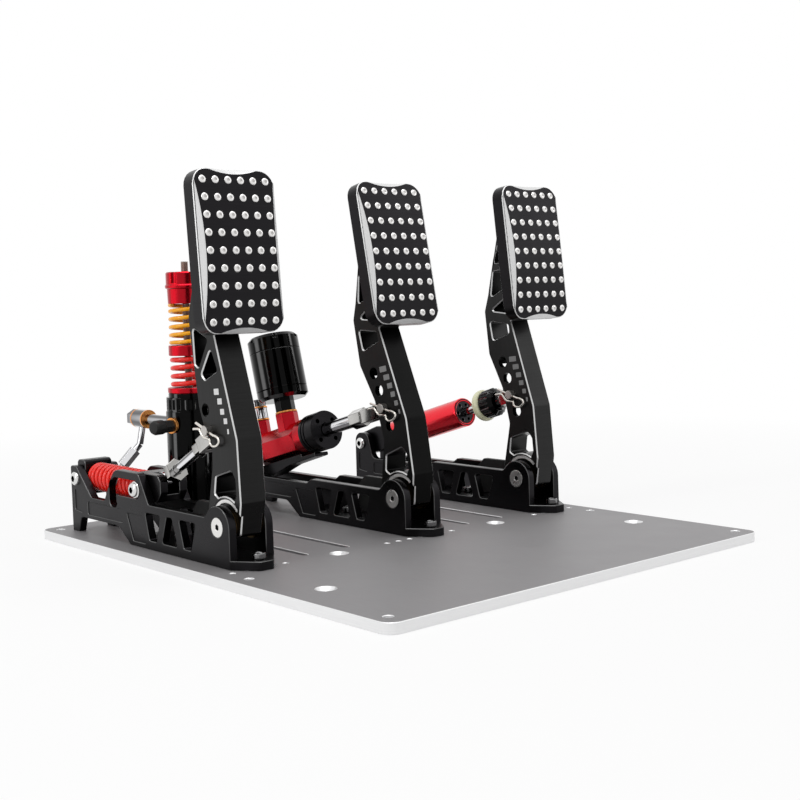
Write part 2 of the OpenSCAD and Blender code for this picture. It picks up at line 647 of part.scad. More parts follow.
module clutch_pin() color([0.7, 0.69, 0.67]) leaning(clutch_x, clutch_tilt) clevis_pin(clutch_pin_local);
module brake_pin() color([0.7, 0.69, 0.67]) leaning(brake_x, brake_tilt) clevis_pin(pin_local);
module throttle_pin() color([0.7, 0.69, 0.67]) leaning(throttle_x, throttle_tilt) clevis_pin(pin_local);
module clutch_clip() color([0.85, 0.83, 0.8]) leaning(clutch_x, clutch_tilt) hairpin(clutch_pin_local);
module brake_clip() color([0.85, 0.83, 0.8]) leaning(brake_x, brake_tilt) hairpin(pin_local);
module throttle_clip() color([0.85, 0.83, 0.8]) leaning(throttle_x, throttle_tilt) hairpin(pin_local);

// A clevis fork, from its shank up to the pin at the top of the strut
module clevis(length, prong, shank, flats, bore) difference() {
  union() {
    for (side = [-1, 1]) slab(side > 0 ? prong_inner : -prong_outer, side > 0 ? prong_outer : -prong_inner)
      polygon(rounded([[-prong_radius, length - prong, 0], [prong_radius, length - prong, 0],
        [prong_radius, length + prong_radius, prong_radius - 0.01],
        [-prong_radius, length + prong_radius, prong_radius - 0.01]]));
    translate([-prong_outer, -prong_radius, length - prong - 5]) cube([2*prong_outer, 2*prong_radius, 5.01]);
    translate([0, 0, length - prong - 5 - shank]) hexagon(flats, shank + 0.01);
  }
  translate([0, 0, length]) cross_bar(-frame_width, frame_width, pin_diameter/2 + fit);
  translate([0, 0, length - prong - 6 - shank]) cylinder(h = shank + 4, d = bore, $fn = round_sides);
}

// Clutch pushrod, from the eye on the carriage up to the arm
clutch_prong = 26;
clutch_shank = 8;
clutch_rod_diameter = 8;
nut_place = 14.2;
nut_height = 7;
nut_flats = 17;
module clutch_clevis() color([0.72, 0.71, 0.69]) strut(clutch_x, clutch_link_at, clutch_lean)
  clevis(clutch_length, clutch_prong, clutch_shank, 12, clutch_rod_diameter + 2*fit);
module clutch_pushrod() color([0.8, 0.8, 0.82]) strut(clutch_x, clutch_link_at, clutch_lean) difference() {
  union() {
    cross_bar(-4.6, 4.6, link_eye_radius);
    translate([0, 0, link_eye_radius - 1]) cylinder(
      h = clutch_length - clutch_prong - 5.5 - link_eye_radius, d = clutch_rod_diameter, $fn = round_sides);
  }
  cross_bar(-frame_width, frame_width, link_pin_radius + link_pin_room);
}
module clutch_locknut() color([0.75, 0.74, 0.7]) strut(clutch_x, clutch_link_at, clutch_lean)
  translate([0, 0, nut_place]) difference() {
    hexagon(nut_flats, nut_height);
    translate([0, 0, -1]) cylinder(h = nut_height + 2, d = clutch_rod_diameter + 2*fit, $fn = round_sides);
  }

// Clutch carriage with its rollers, guide rod and rear block
carriage_half = inner_half - seat_gap;
fork_half = 5.2;
fork_rear = 96;
fork_low = 43.5;
module clutch_carriage() color([0.08, 0.08, 0.08]) translate([clutch_x, 0, deck]) {
  difference() {
    slab(-carriage_half, carriage_half) polygon(rounded([[carriage_front + 6, carriage_low, 3],
      [carriage_rear, carriage_low, 1], [carriage_rear, carriage_high, 3], [carriage_front + 4, carriage_high, 4],
      [carriage_front, carriage_high - 5, 3], [carriage_front, carriage_low + 8, 3]]));
    translate([-fork_half, carriage_front - 1, fork_low]) cube([2*fork_half, fork_rear - carriage_front + 1, 30]);
    translate([0, slide_bolt_y, slide_height])
      cross_bar(-frame_width, frame_width, rear_bolt_diameter/2 + fit);
    translate([0, 0, slide_height]) across(carriage_rear - 8)
      cylinder(h = 9, d = guide_rod_diameter + 2*fit, $fn = round_sides);
  }
  translate([0, link_end[0], link_end[1]]) cross_bar(-fork_half - 1, fork_half + 1, link_pin_radius);
}
module clutch_slide_bolts() color([0.75, 0.75, 0.75]) translate([clutch_x, slide_bolt_y, deck + slide_height])
  for (side = [-1, 1]) translate([side*seat_gap, 0, 0]) {
    button_bolt(side, inner_half - bolt_reach);
    cross_bar(side > 0 ? inner_half - 0.25 : seat_gap - frame_width/2 - 0.6,
      side > 0 ? frame_width/2 - seat_gap + 0.6 : 0.25 - inner_half, roller_diameter/2);
  }
module clutch_guide_rod() color([0.7, 0.7, 0.72]) translate([clutch_x, 0, deck + slide_height])
  across(carriage_rear - 7.5) cylinder(h = rear_block_rear - carriage_rear + 8, d = guide_rod_diameter,
    $fn = round_sides);
module clutch_spring() color([0.85, 0.07, 0.07]) translate([clutch_x, 0, deck + slide_height]) across(0)
  coil("clutch", clutch_spring_diameter, clutch_spring_wire, clutch_spring_turns, carriage_rear, rear_block_front);
module clutch_rear_block() color([0.08, 0.08, 0.08]) translate([clutch_x, 0, deck]) difference() {
  slab(fit - inner_half, inner_half - fit) polygon(rounded([[rear_block_front, 31.5, 2], [rear_block_rear, 31.5, 2],
    [rear_block_rear, 62, 3.5], [rear_block_front, 62, 3.5]]));
  translate([0, rear_bolt_y, rear_bolt_height]) cross_bar(-frame_width, frame_width, rear_bolt_diameter/2 + fit);
  translate([0, 0, slide_height]) across(rear_block_front - 1)
    cylinder(h = 30, d = guide_rod_diameter + 2*seat_gap, $fn = round_sides);
}

// Brake rod and clevis
brake_prong = 35;
brake_shank = 16;
piston_length = 10;
module brake_clevis() color([0.72, 0.71, 0.69]) strut(brake_x, brake_base_at, brake_lean)
  clevis(brake_length, brake_prong, brake_shank, 15, brake_rod_diameter - 1);
module brake_rod() color([0.75, 0.75, 0.77]) strut(brake_x, brake_base_at, brake_lean) {
  translate([0, 0, piston_place]) cylinder(h = piston_length, d = master_bore - 2*gland_room, $fn = round_sides);
  translate([0, 0, piston_place + piston_length - 0.01]) cylinder(
    h = brake_length - brake_prong - 5 - brake_shank - piston_place - piston_length + 0.01,
    d = brake_rod_diameter, $fn = round_sides);
  translate([0, 0, brake_length - brake_prong - 5 - brake_shank - 0.01])
    cylinder(h = brake_shank - 2, d = brake_rod_diameter - 1 - 2*fit, $fn = round_sides);
}

// Master cylinder: hexagon body, end cap, cradle, reservoir and outlet
master_boss_flats = 18.5;
neck_flats = 16.5;
main_washer = 20.5;
outlet_flats = 14;
reservoir_port = 9;
outlet_port = 6;
module upright(place) {
  translate([0, 0, place]) rotate([-90, 0, 0]) children();
}
lug_half = inner_half - 2*seat_gap;
lug_radius = 12.5;
hexagon_end = master_flats/2 - 1.2; // radius where the chamfer meets the front end of the hexagon
hexagon_wide = master_flats/2/cos(30) + 1;
module master_hexagon(length) intersection() {
  rotate(hexagon_turn) hexagon(master_flats, length);
  rotate_extrude($fn = round_sides) polygon([[0, -1], [hexagon_wide, -1],
    [hexagon_wide, length - hexagon_wide + hexagon_end], [hexagon_end, length], [0, length]]);
}
module master_body() color([0.75, 0.03, 0.08]) strut(brake_x, brake_base_at, brake_lean) difference() {
  union() {
    slab(-lug_half, lug_half) polygon(rounded([[-lug_radius, master_rear, 8], [lug_radius, master_rear, 8],
      [lug_radius, hexagon_rear + 1, 0], [-lug_radius, hexagon_rear + 1, 0]]));
    translate([0, 0, hexagon_rear]) master_hexagon(hexagon_front - hexagon_rear);
    translate([0, 0, hexagon_front - 1]) cylinder(h = cap_start - hexagon_front, d = collar_neck, $fn = round_sides);
    translate([0, 0, master_collar]) cylinder(h = cap_start - master_collar, d = collar_diameter, $fn = round_sides);
    upright(reservoir_place) hexagon(master_boss_flats, boss_top);
    upright(outlet_place) hexagon(outlet_flats, boss_top + 1);
  }
  translate([0, 0, 22]) cylinder(h = cap_start, d = master_bore, $fn = round_sides);
  upright(reservoir_place) cylinder(h = 60, d = reservoir_port, $fn = small_sides);
  upright(outlet_place) cylinder(h = 60, d = outlet_port + 2*fit, $fn = small_sides);
  translate([0, 0, outlet_place]) cylinder(h = 20, d = outlet_port, $fn = small_sides);
  cross_bar(-frame_width, frame_width, rear_bolt_diameter/2 + fit);
}
spanner_hole = 4;
module master_cap() color([0.06, 0.06, 0.06]) strut(brake_x, brake_base_at, brake_lean) difference() {
  union() {
    translate([0, 0, cap_start]) cylinder(h = cap_end - cap_start, d = cap_diameter, $fn = round_sides);
    translate([0, 0, cap_start - 8]) cylinder(h = 8.01, d = master_bore - 2*fit, $fn = round_sides);
  }
  translate([0, 0, cap_start - 9]) cylinder(h = 40, d = brake_rod_diameter + 2*gland_room, $fn = round_sides);
  for (a = [45:90:315]) translate([12*cos(a), 12*sin(a), cap_end - 6])
    cylinder(h = 9, d = spanner_hole, $fn = small_sides);
  for (z = [4, 8]) translate([0, 0, cap_start + z]) difference() {
    cylinder(h = 1.2, d = cap_diameter + 2, $fn = round_sides);
    translate([0, 0, -1]) cylinder(h = 4, d = cap_diameter - 1.6, $fn = round_sides);
  }
}
cradle_half = 8;
cradle_rear = 8;
cradle_front = 98;
cradle_depth = 12;
cradle_lip_thickness = 3.4;
cradle_top = -master_flats/2/cos(30)*cos(hexagon_turn) - 0.1;
cradle_lip = -cap_diameter/2 - 0.2;
cradle_low = cradle_lip - cradle_lip_thickness;
module master_cradle() color([0.06, 0.06, 0.06]) strut(brake_x, brake_base_at, brake_lean)
  slab(-cradle_half, cradle_half) polygon(rounded([[cradle_top, cradle_rear, 2], [cradle_top, hexagon_front, 1],
    [cradle_lip, hexagon_front, 1], [cradle_lip, cradle_front, 1], [cradle_low, cradle_front, 1],
    [cradle_low - 1, (hexagon_rear + hexagon_front)/2 + 8, 20], [cradle_top - cradle_depth, hexagon_rear + 10, 9],
    [cradle_top - cradle_depth, cradle_rear, 2]]));
module reservoir() color([0.03, 0.03, 0.03]) strut(brake_x, brake_base_at, brake_lean) upright(reservoir_place)
  difference() {
    union() {
      translate([0, 0, boss_top + 1.6]) hexagon(neck_flats, reservoir_low - boss_top - 1.5);
      rotate_extrude($fn = round_sides) polygon([[0, reservoir_low], [reservoir_diameter/2 - 3, reservoir_low],
        [reservoir_diameter/2, reservoir_low + 3], [reservoir_diameter/2, reservoir_low + 9],
        [reservoir_diameter/2 - 0.7, reservoir_low + 9.6], [reservoir_diameter/2, reservoir_low + 10.2],
        [reservoir_diameter/2, reservoir_cap_low - 0.2], [0, reservoir_cap_low - 0.2]]);
    }
    translate([0, 0, reservoir_low + 4]) cylinder(h = 60, d = reservoir_diameter - 8, $fn = round_sides);
    cylinder(h = 60, d = reservoir_port, $fn = small_sides);
  }
cap_notches = 6;
module reservoir_cap() color([0.03, 0.03, 0.03]) strut(brake_x, brake_base_at, brake_lean) upright(reservoir_place)
  difference() {
    union() {
      rotate_extrude($fn = round_sides) polygon([[0, reservoir_cap_low], [reservoir_diameter/2, reservoir_cap_low],
        [reservoir_diameter/2, reservoir_high - 3], [reservoir_diameter/2 - 3, reservoir_high], [0, reservoir_high]]);
      translate([0, 0, reservoir_cap_low - 8]) cylinder(h = 8.01, d = reservoir_diameter - 8 - 2*fit,
        $fn = round_sides);
    }
    translate([0, 0, reservoir_cap_low - 9]) cylinder(h = 14, d = reservoir_diameter - 14, $fn = round_sides);
    for (k = [0:cap_notches - 1]) rotate(k*360/cap_notches) translate([reservoir_diameter/2, 0, reservoir_high - 5])
      cylinder(h = 9, d = 4.4, $fn = small_sides);
  }
module washer(from, to, outer, inner) translate([0, 0, from]) difference() {
  cylinder(h = to - from, d = outer, $fn = round_sides);
  translate([0, 0, -1]) cylinder(h = to - from + 2, d = inner, $fn = small_sides);
}
banjo_diameter = 16;
banjo_washer = 17;
module master_washers() color([0.85, 0.45, 0.15]) strut(brake_x, brake_base_at, brake_lean) {
  upright(reservoir_place) washer(boss_top + 0.05, boss_top + 1.55, main_washer, reservoir_port);
  upright(outlet_place) washer(boss_top + 1.05, banjo_low - 0.05, banjo_washer, outlet_port + 1);
  upright(outlet_place) washer(banjo_high + 0.05, banjo_high + 1.55, banjo_washer, outlet_port + 1);
}
ferrule_flats = 9.6;
ferrule_length = 18;
ferrule_depth = 8;
neck_diameter = 6;
module ferrule(neck) {
  cylinder(h = neck + 1, d = neck_diameter, $fn = small_sides);
  translate([0, 0, neck]) difference() {
    hexagon(ferrule_flats, ferrule_length);
    translate([0, 0, ferrule_length - ferrule_depth])
      cylinder(h = 20, d = hose_diameter + 2*seat_gap, $fn = small_sides);
  }
}
module banjo_bolt(flats, reach, shank) {
  hexagon(flats, 7);
  translate([0, 0, -reach]) cylinder(h = reach + 0.01, d = shank, $fn = small_sides);
}
module outlet_banjo() color([0.8, 0.8, 0.82]) strut(brake_x, brake_base_at, brake_lean) upright(outlet_place) {
  difference() {
    union() {
      translate([0, 0, banjo_low]) cylinder(h = banjo_high - banjo_low, d = banjo_diameter, $fn = round_sides);
      translate([-banjo_diameter/2 + 1, 0, (banjo_low + banjo_high)/2]) rotate([0, -90, 0]) ferrule(4);
    }
    translate([0, 0, banjo_low - 1]) cylinder(h = 20, d = outlet_port + 2*fit, $fn = small_sides);
  }
  translate([0, 0, banjo_high + 1.6]) banjo_bolt(13, banjo_high - boss_top + 10, outlet_port);
}
module brake_hose() color([0.75, 0.76, 0.78]) tube(laid(hose_points, hose_steps), hose_diameter/2, hose_sides);

// Slave cylinder tower
module tower() {
  translate([tower_x, tower_y, deck]) children();
}
tower_bore = 31;
bleed_stem = 5;
port_diameter = 10;
stem_low = port_height + port_diameter/2 + 3;
grip_notches = 24;
module slave_body() color([0.05, 0.05, 0.05]) tower() difference() {
  union() {
    cylinder(h = tower_foot_height, r = tower_foot_radius, $fn = round_sides);
    cylinder(h = tower_body_height, r = tower_radius, $fn = round_sides);
    translate([0, 0, tower_body_height - 0.01]) cylinder(h = 12, r = tower_radius - 0.6, $fn = round_sides);
    cylinder(h = tower_neck_height, r = tower_radius - 2.6, $fn = round_sides);
  }
  translate([0, 0, 30]) cylinder(h = tower_neck_height, d = tower_bore, $fn = round_sides);
  translate([0, 0, 12]) cylinder(h = 30, d = tower_rod_diameter + 2*fit, $fn = small_sides);
  for (k = [0:grip_notches - 1]) rotate(k*360/grip_notches) translate([tower_radius, 0, tower_body_height + 2])
    cylinder(h = 8, r = 1.4, $fn = 6);
  translate([0, 0, port_height]) across(10) cylinder(h = 40, d = port_diameter + 2*fit, $fn = small_sides);
  translate([0, 0, bleed_height]) rotate(bleed_turn) cross_bar(0, 40, bleed_stem/2 + fit, small_sides);
  for (a = tower_screw_angles) rotate(a) translate([tower_screw_radius, 0, -1])
    cylinder(h = 20, d = tower_screw_diameter + 2*fit, $fn = small_sides);
}
module slave_piston() color([0.75, 0.03, 0.08]) tower() difference() {
  union() {
    translate([0, 0, stem_low]) cylinder(h = lift_seat - stem_low, d = tower_bore - 2*seat_gap, $fn = round_sides);
    translate([0, 0, tower_neck_height + seat_gap]) cylinder(
      h = lift_seat - tower_neck_height - seat_gap, r = 18, $fn = round_sides);
  }
  translate([0, 0, stem_low - 1]) cylinder(h = 80, d = tower_rod_diameter + 2*seat_gap, $fn = small_sides);
}
module lower_spring() color([0.8, 0.05, 0.08]) tower()
  coil("lower", brake_spring_diameter, lower_spring_wire, lower_spring_turns, lift_seat, collar_low);
module middle_collar() color([0.75, 0.03, 0.08]) tower() difference() {
  translate([0, 0, collar_low]) cylinder(h = collar_high - collar_low, r = 16.2, $fn = round_sides);
  translate([0, 0, collar_low - 1]) cylinder(h = 20, d = tower_rod_diameter + 2*seat_gap, $fn = small_sides);
}
module upper_spring() color([1, 0.6, 0.05]) tower()
  coil("upper", brake_spring_diameter, upper_spring_wire, upper_spring_turns, collar_high, top_low);
collar_flange_low = 208.5;
collar_flange_high = 212.5;
collar_flange = 17.2; // radius of the flange
collar_crown = 16.4;  // radius above the flange
collar_skirt = 15.2;  // radius at the spring
module top_collar() color([0.75, 0.03, 0.08]) tower() difference() {
  rotate_extrude($fn = round_sides) polygon([[0, top_low], [collar_skirt, top_low],
    [collar_skirt + 0.4, collar_flange_low], [collar_flange, collar_flange_low + 1],
    [collar_flange, collar_flange_high - 1], [collar_crown, collar_flange_high], [collar_crown, top_high - 1],
    [collar_crown - 1, top_high], [0, top_high]]);
  translate([0, 0, top_low - 1]) cylinder(h = 40, d = tower_rod_diameter + 2*fit, $fn = small_sides);
  for (a = [20:60:320]) rotate(a) translate([collar_crown, 0, collar_flange_high + 1])
    cylinder(h = 20, d = 5, $fn = small_sides);
}
module slave_rod() color([0.55, 0.5, 0.47]) tower() translate([0, 0, 14])
  cylinder(h = tower_rod_top - 14, d = tower_rod_diameter, $fn = round_sides);
banjo_half = 8;
washer_step = 1.7;
port_seat = tower_bore/2 + 0.5;
module slave_port() color([0.78, 0.78, 0.8]) translate([tower_x, 0, deck + port_height]) {
  across(tower_y + port_seat) cylinder(h = banjo_y - banjo_half - washer_step - tower_y - port_seat, d = port_diameter,
    $fn = round_sides);
  across(banjo_y - banjo_half - washer_step - 0.01) cylinder(h = 2*banjo_half + 2*washer_step + 0.02,
    d = port_diameter - 2, $fn = small_sides);
  across(banjo_y + banjo_half + washer_step) hexagon(14, 8);
  translate([0, banjo_y, 0]) {
    difference() {
      across(-banjo_half) cylinder(h = 2*banjo_half, d = 17, $fn = round_sides);
      across(-20) cylinder(h = 40, d = port_diameter - 2 + 2*fit, $fn = small_sides);
    }
    toward(port_neck) translate([0, 0, 7.5]) cylinder(h = norm(port_neck) - 7.5, d = neck_diameter, $fn = small_sides);
    translate(port_neck) sphere(d = neck_diameter, $fn = small_sides);
    translate(port_neck) toward(hose_start - port_neck_end) ferrule(norm(hose_start - port_neck_end)
      - ferrule_length + ferrule_depth - 2);
  }
}
port_neck = port_neck_end - [tower_x, banjo_y, deck + port_height];
module toward(v) {
  rotate(atan2(v[1], v[0])) rotate([0, acos(v[2]/norm(v)), 0]) children();
}
module slave_washers() color([0.85, 0.45, 0.15]) {
  translate([tower_x, 0, deck + port_height]) for (y = [-banjo_half - washer_step + fit, banjo_half + fit])
    across(banjo_y + y) washer(0, washer_step - 2*fit, banjo_washer, port_diameter - 1);
  bleed() washer(0.05, 3, 13.5, bleed_stem + 1);
}
module bleed() {
  tower() translate([0, 0, bleed_height]) rotate(bleed_turn) translate([tower_radius, 0, 0]) rotate([0, 90, 0])
    children();
}
module bleed_cap() color([0.05, 0.05, 0.05]) bleed() {
  translate([0, 0, -4]) cylinder(h = 8, d = bleed_stem, $fn = small_sides);
  translate([0, 0, 3.1]) hexagon(10, 9);
  translate([0, 0, 12]) rotate_extrude($fn = round_sides) polygon([[0, 0], [5.6, 0], [6.2, 2], [6.2, 9], [5, 11.5],
    [0, 12]]);
}

// Throttle strut
throttle_prong = 17;
throttle_shank = 2;
knob_hub = 14;
rod_front = throttle_length - throttle_prong - 5 - throttle_shank;
bumper_place = throttle_length - bumper_back;
knob_place = bumper_place + bumper_thickness;
bumper_diameter = 30;
knob_diameter = 27;
knob_flutes = 18;
module throttle_clevis() color([0.72, 0.71, 0.69]) strut(throttle_x, throttle_base_at, throttle_lean)
  clevis(throttle_length, throttle_prong, throttle_shank, 12, throttle_rod_diameter + 2*fit);
module throttle_rod() color([0.75, 0.75, 0.77]) strut(throttle_x, throttle_base_at, throttle_lean) {
  translate([0, 0, throttle_piston_place]) cylinder(h = 10, d = throttle_tube_diameter - 2*tube_wall - 2*gland_room,
    $fn = round_sides);
  translate([0, 0, throttle_piston_place + 9.9]) cylinder(h = rod_front + 4 - throttle_piston_place - 9.9,
    d = throttle_rod_diameter, $fn = round_sides);
}
module throttle_bumper() color([0.85, 0.9, 0.55]) strut(throttle_x, throttle_base_at, throttle_lean)
  translate([0, 0, bumper_place]) difference() {
    rotate_extrude($fn = round_sides) polygon([[0, 0], [bumper_diameter/2 - 2, 0], [bumper_diameter/2, 2],
      [bumper_diameter/2, bumper_thickness - 2], [bumper_diameter/2 - 2, bumper_thickness - 0.1],
      [0, bumper_thickness - 0.1]]);
    translate([0, 0, -1]) cylinder(h = 20, d = throttle_rod_diameter + 2*fit, $fn = round_sides);
  }
module throttle_knob() color([0.05, 0.05, 0.05]) strut(throttle_x, throttle_base_at, throttle_lean)
  translate([0, 0, knob_place + fit]) difference() {
    rotate_extrude($fn = round_sides) polygon([[0, 0], [knob_diameter/2 - 1.5, 0], [knob_diameter/2, 1.5],
      [knob_diameter/2, knob_length - 4], [knob_diameter/2 - 4, knob_length], [knob_hub/2, knob_length - 1],
      [knob_hub/2, rod_front - knob_place - 0.2], [0, rod_front - knob_place - 0.2]]);
    translate([0, 0, -1]) cylinder(h = 60, d = throttle_rod_diameter + 2*fit, $fn = round_sides);
    for (k = [0:knob_flutes - 1]) rotate(k*360/knob_flutes) translate([knob_diameter/2 + 0.6, 0, -1])
      cylinder(h = 40, r = 1.5, $fn = 8);
  }
module throttle_tube() color([0.8, 0.04, 0.08]) strut(throttle_x, throttle_base_at, throttle_lean)
  translate([0, 0, tube_start]) difference() {
    cylinder(h = tube_end - tube_start, d = throttle_tube_diameter, $fn = round_sides);
    translate([0, 0, -1]) cylinder(h = tube_end, d = throttle_tube_diameter - 2*tube_wall, $fn = round_sides);
  }
cap_length = 12;
cap_hole = 3.2;
module throttle_cap() color([0.06, 0.06, 0.06]) strut(throttle_x, throttle_base_at, throttle_lean)
  translate([0, 0, tube_end - cap_length - 0.5]) difference() {
    cylinder(h = cap_length, d = throttle_tube_diameter - 2*tube_wall - 2*fit, $fn = round_sides);
    translate([0, 0, -1]) cylinder(h = 20, d = throttle_rod_diameter + 2*gland_room, $fn = round_sides);
    for (k = [0:5]) rotate(k*60) translate([8, 0, cap_length - 4]) cylinder(h = 9, d = cap_hole, $fn = small_sides);
  }
module throttle_trunnion() color([0.07, 0.07, 0.07]) strut(throttle_x, throttle_base_at, throttle_lean)
  difference() {
    union() {
      slab(-inner_half + seat_gap, inner_half - seat_gap) polygon(rounded([[-11, -9, 3], [11, -9, 3], [13, 20, 3],
        [10, tube_start - 0.1, 0], [-10, tube_start - 0.1, 0], [-13, 20, 3]]));
      cylinder(h = trunnion_stub_end, d = throttle_tube_diameter - 2*tube_wall - 2*fit, $fn = round_sides);
    }
    cross_bar(-frame_width, frame_width, rear_bolt_diameter/2 + fit);
  }
throttle_spring_wire = 2.4;
throttle_spring_turns = 8;
module throttle_spring() color([0.6, 0.6, 0.6]) strut(throttle_x, throttle_base_at, throttle_lean)
  coil("throttle", throttle_tube_diameter - 2*tube_wall - 1.6, throttle_spring_wire, throttle_spring_turns,
    trunnion_stub_end, throttle_piston_place);

base_plate();
clutch_frame();
brake_frame();
throttle_frame();
frame_screws();
pivot_bolts();
pivot_bushings();
rear_bolts();
pedal_sensors();
clutch_arm();
clutch_face();
clutch_studs();
clutch_pin();
clutch_clip();
clutch_clevis();
clutch_pushrod();
clutch_locknut();
clutch_carriage();
clutch_slide_bolts();
clutch_guide_rod();
clutch_spring();
clutch_rear_block();
brake_arm();
brake_face();
brake_studs();
brake_pin();
brake_clip();
brake_clevis();
brake_rod();
master_body();
master_cap();
master_cradle();
reservoir();
reservoir_cap();
master_washers();
outlet_banjo();
brake_hose();
slave_body();
slave_piston();
lower_spring();
middle_collar();
upper_spring();
top_collar();
slave_rod();
slave_port();
slave_washers();
bleed_cap();
throttle_arm();
throttle_face();
throttle_studs();
throttle_pin();
throttle_clip();
throttle_clevis();
throttle_rod();
throttle_bumper();
throttle_knob();
throttle_tube();
throttle_cap();
throttle_trunnion();
throttle_spring();
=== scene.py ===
import json
from math import atan2, cos, hypot, pi, radians, sin, sqrt

import bmesh
import bpy
from mathutils import Matrix, Vector

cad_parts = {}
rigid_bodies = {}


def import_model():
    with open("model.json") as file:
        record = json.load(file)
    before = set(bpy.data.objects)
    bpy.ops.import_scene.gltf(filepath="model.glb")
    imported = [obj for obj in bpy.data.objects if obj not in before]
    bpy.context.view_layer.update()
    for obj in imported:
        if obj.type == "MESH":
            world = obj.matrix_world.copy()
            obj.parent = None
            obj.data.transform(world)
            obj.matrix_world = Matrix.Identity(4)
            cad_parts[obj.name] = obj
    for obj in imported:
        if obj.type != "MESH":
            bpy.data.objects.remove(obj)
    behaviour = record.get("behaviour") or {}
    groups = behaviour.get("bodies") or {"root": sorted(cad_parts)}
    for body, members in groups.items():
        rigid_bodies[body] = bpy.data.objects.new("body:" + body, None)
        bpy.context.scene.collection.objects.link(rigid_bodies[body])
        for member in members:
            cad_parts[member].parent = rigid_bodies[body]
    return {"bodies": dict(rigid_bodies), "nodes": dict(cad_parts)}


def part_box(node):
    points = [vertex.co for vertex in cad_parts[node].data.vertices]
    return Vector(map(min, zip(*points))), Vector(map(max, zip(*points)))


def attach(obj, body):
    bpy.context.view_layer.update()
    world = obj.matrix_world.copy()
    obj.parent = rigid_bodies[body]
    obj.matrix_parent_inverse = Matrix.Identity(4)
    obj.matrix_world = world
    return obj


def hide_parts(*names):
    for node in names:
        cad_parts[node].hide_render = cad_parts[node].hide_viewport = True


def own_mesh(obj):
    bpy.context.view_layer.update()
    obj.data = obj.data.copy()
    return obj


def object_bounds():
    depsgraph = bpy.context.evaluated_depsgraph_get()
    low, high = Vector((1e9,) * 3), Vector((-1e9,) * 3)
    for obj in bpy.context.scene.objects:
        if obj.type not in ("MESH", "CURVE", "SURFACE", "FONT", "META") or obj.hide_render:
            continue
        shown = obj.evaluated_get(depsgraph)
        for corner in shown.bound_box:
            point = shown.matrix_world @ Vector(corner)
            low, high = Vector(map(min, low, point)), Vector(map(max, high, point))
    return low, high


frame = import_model()
cad_box = [list(corner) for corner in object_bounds()]
mm = 0.001

# Camera and studio
# A product shot in a white room: one wide lamp overhead and a tall narrow one on each side.
# The camera stands low at the front left corner, as in the photograph.
camera_place = (-0.69025, -0.80512, 0.20656)
camera_turn, camera_tilt, camera_roll = radians(-41.4273), radians(90 - 4.7351), radians(-1.3798)
lens = bpy.data.cameras.new("camera")
lens.lens = 56.845
lens.sensor_width = 36
lens.clip_start = 0.05
camera = bpy.data.objects.new("camera", lens)
camera.matrix_world = (
    Matrix.Translation(camera_place)
    @ Matrix.Rotation(camera_turn, 4, "Z")
    @ Matrix.Rotation(camera_tilt, 4, "X")
    @ Matrix.Rotation(camera_roll, 4, "Z")
)
bpy.context.scene.collection.objects.link(camera)
bpy.context.scene.camera = camera
bpy.context.scene.view_settings.view_transform = "Standard"

room_light, room_seen = 0.5, 1.0     # the room as a light, and as it is seen or mirrored
room = bpy.data.worlds.new("white_room")
bpy.context.scene.world = room
room.use_nodes = True
nodes, links = room.node_tree.nodes, room.node_tree.links
rays = nodes.new("ShaderNodeLightPath")
seen = nodes.new("ShaderNodeMath")
seen.operation = "MAXIMUM"
links.new(rays.outputs["Is Camera Ray"], seen.inputs[0])
shiny = nodes.new("ShaderNodeMath")
shiny.operation = "MAXIMUM"
links.new(rays.outputs["Is Glossy Ray"], shiny.inputs[0])
links.new(rays.outputs["Is Transmission Ray"], shiny.inputs[1])
links.new(shiny.outputs[0], seen.inputs[1])
level = nodes.new("ShaderNodeMapRange")
level.inputs["To Min"].default_value = room_light
level.inputs["To Max"].default_value = room_seen
links.new(seen.outputs[0], level.inputs["Value"])
links.new(level.outputs[0], nodes["Background"].inputs["Strength"])
nodes["Background"].inputs["Color"].default_value = (1, 1, 1, 1)

lamp_aim = Vector((0, 0, 0.1))
for name, place, size, power in (
    ("lamp_overhead", (0.0, -0.2, 1.5), (1.4, 1.0), 8.5),
    ("lamp_left", (-1.5, 0.1, 0.9), (0.22, 1.4), 7.0),
    ("lamp_right", (1.3, -1.0, 0.9), (0.2, 1.2), 1.6),
):
    lamp = bpy.data.lights.new(name, "AREA")
    lamp.shape = "RECTANGLE"
    lamp.size, lamp.size_y = size
    lamp.energy = power
    stand = bpy.data.objects.new(name, lamp)
    stand.location = place
    stand.rotation_euler = (lamp_aim - Vector(place)).to_track_quat("-Z", "Y").to_euler()
    bpy.context.scene.collection.objects.link(stand)

floor_half = 40
glow_near, glow_far = 0.4, 1.1       # metres from the middle of the plate
glow_least, glow_most = 0.8, 1.0     # the share of plain white there, so that shadows stay near the object
bm = bmesh.new()
bmesh.ops.create_grid(bm, x_segments=1, y_segments=1, size=floor_half)
floor_mesh = bpy.data.meshes.new("studio_floor")
bm.to_mesh(floor_mesh)
bm.free()
floor = bpy.data.objects.new("studio_floor", floor_mesh)
bpy.context.scene.collection.objects.link(floor)
paper = bpy.data.materials.new("white_paper")
paper.use_nodes = True
nodes, links = paper.node_tree.nodes, paper.node_tree.links
nodes["Principled BSDF"].inputs["Base Color"].default_value = (0.93, 0.93, 0.93, 1)
nodes["Principled BSDF"].inputs["Roughness"].default_value = 0.9
nodes["Principled BSDF"].inputs["Specular IOR Level"].default_value = 0.1
glow = nodes.new("ShaderNodeEmission")
rays = nodes.new("ShaderNodeLightPath")
seen = nodes.new("ShaderNodeMath")
seen.operation = "MAXIMUM"
links.new(rays.outputs["Is Camera Ray"], seen.inputs[0])
links.new(rays.outputs["Is Glossy Ray"], seen.inputs[1])
spot = nodes.new("ShaderNodeTexCoord")
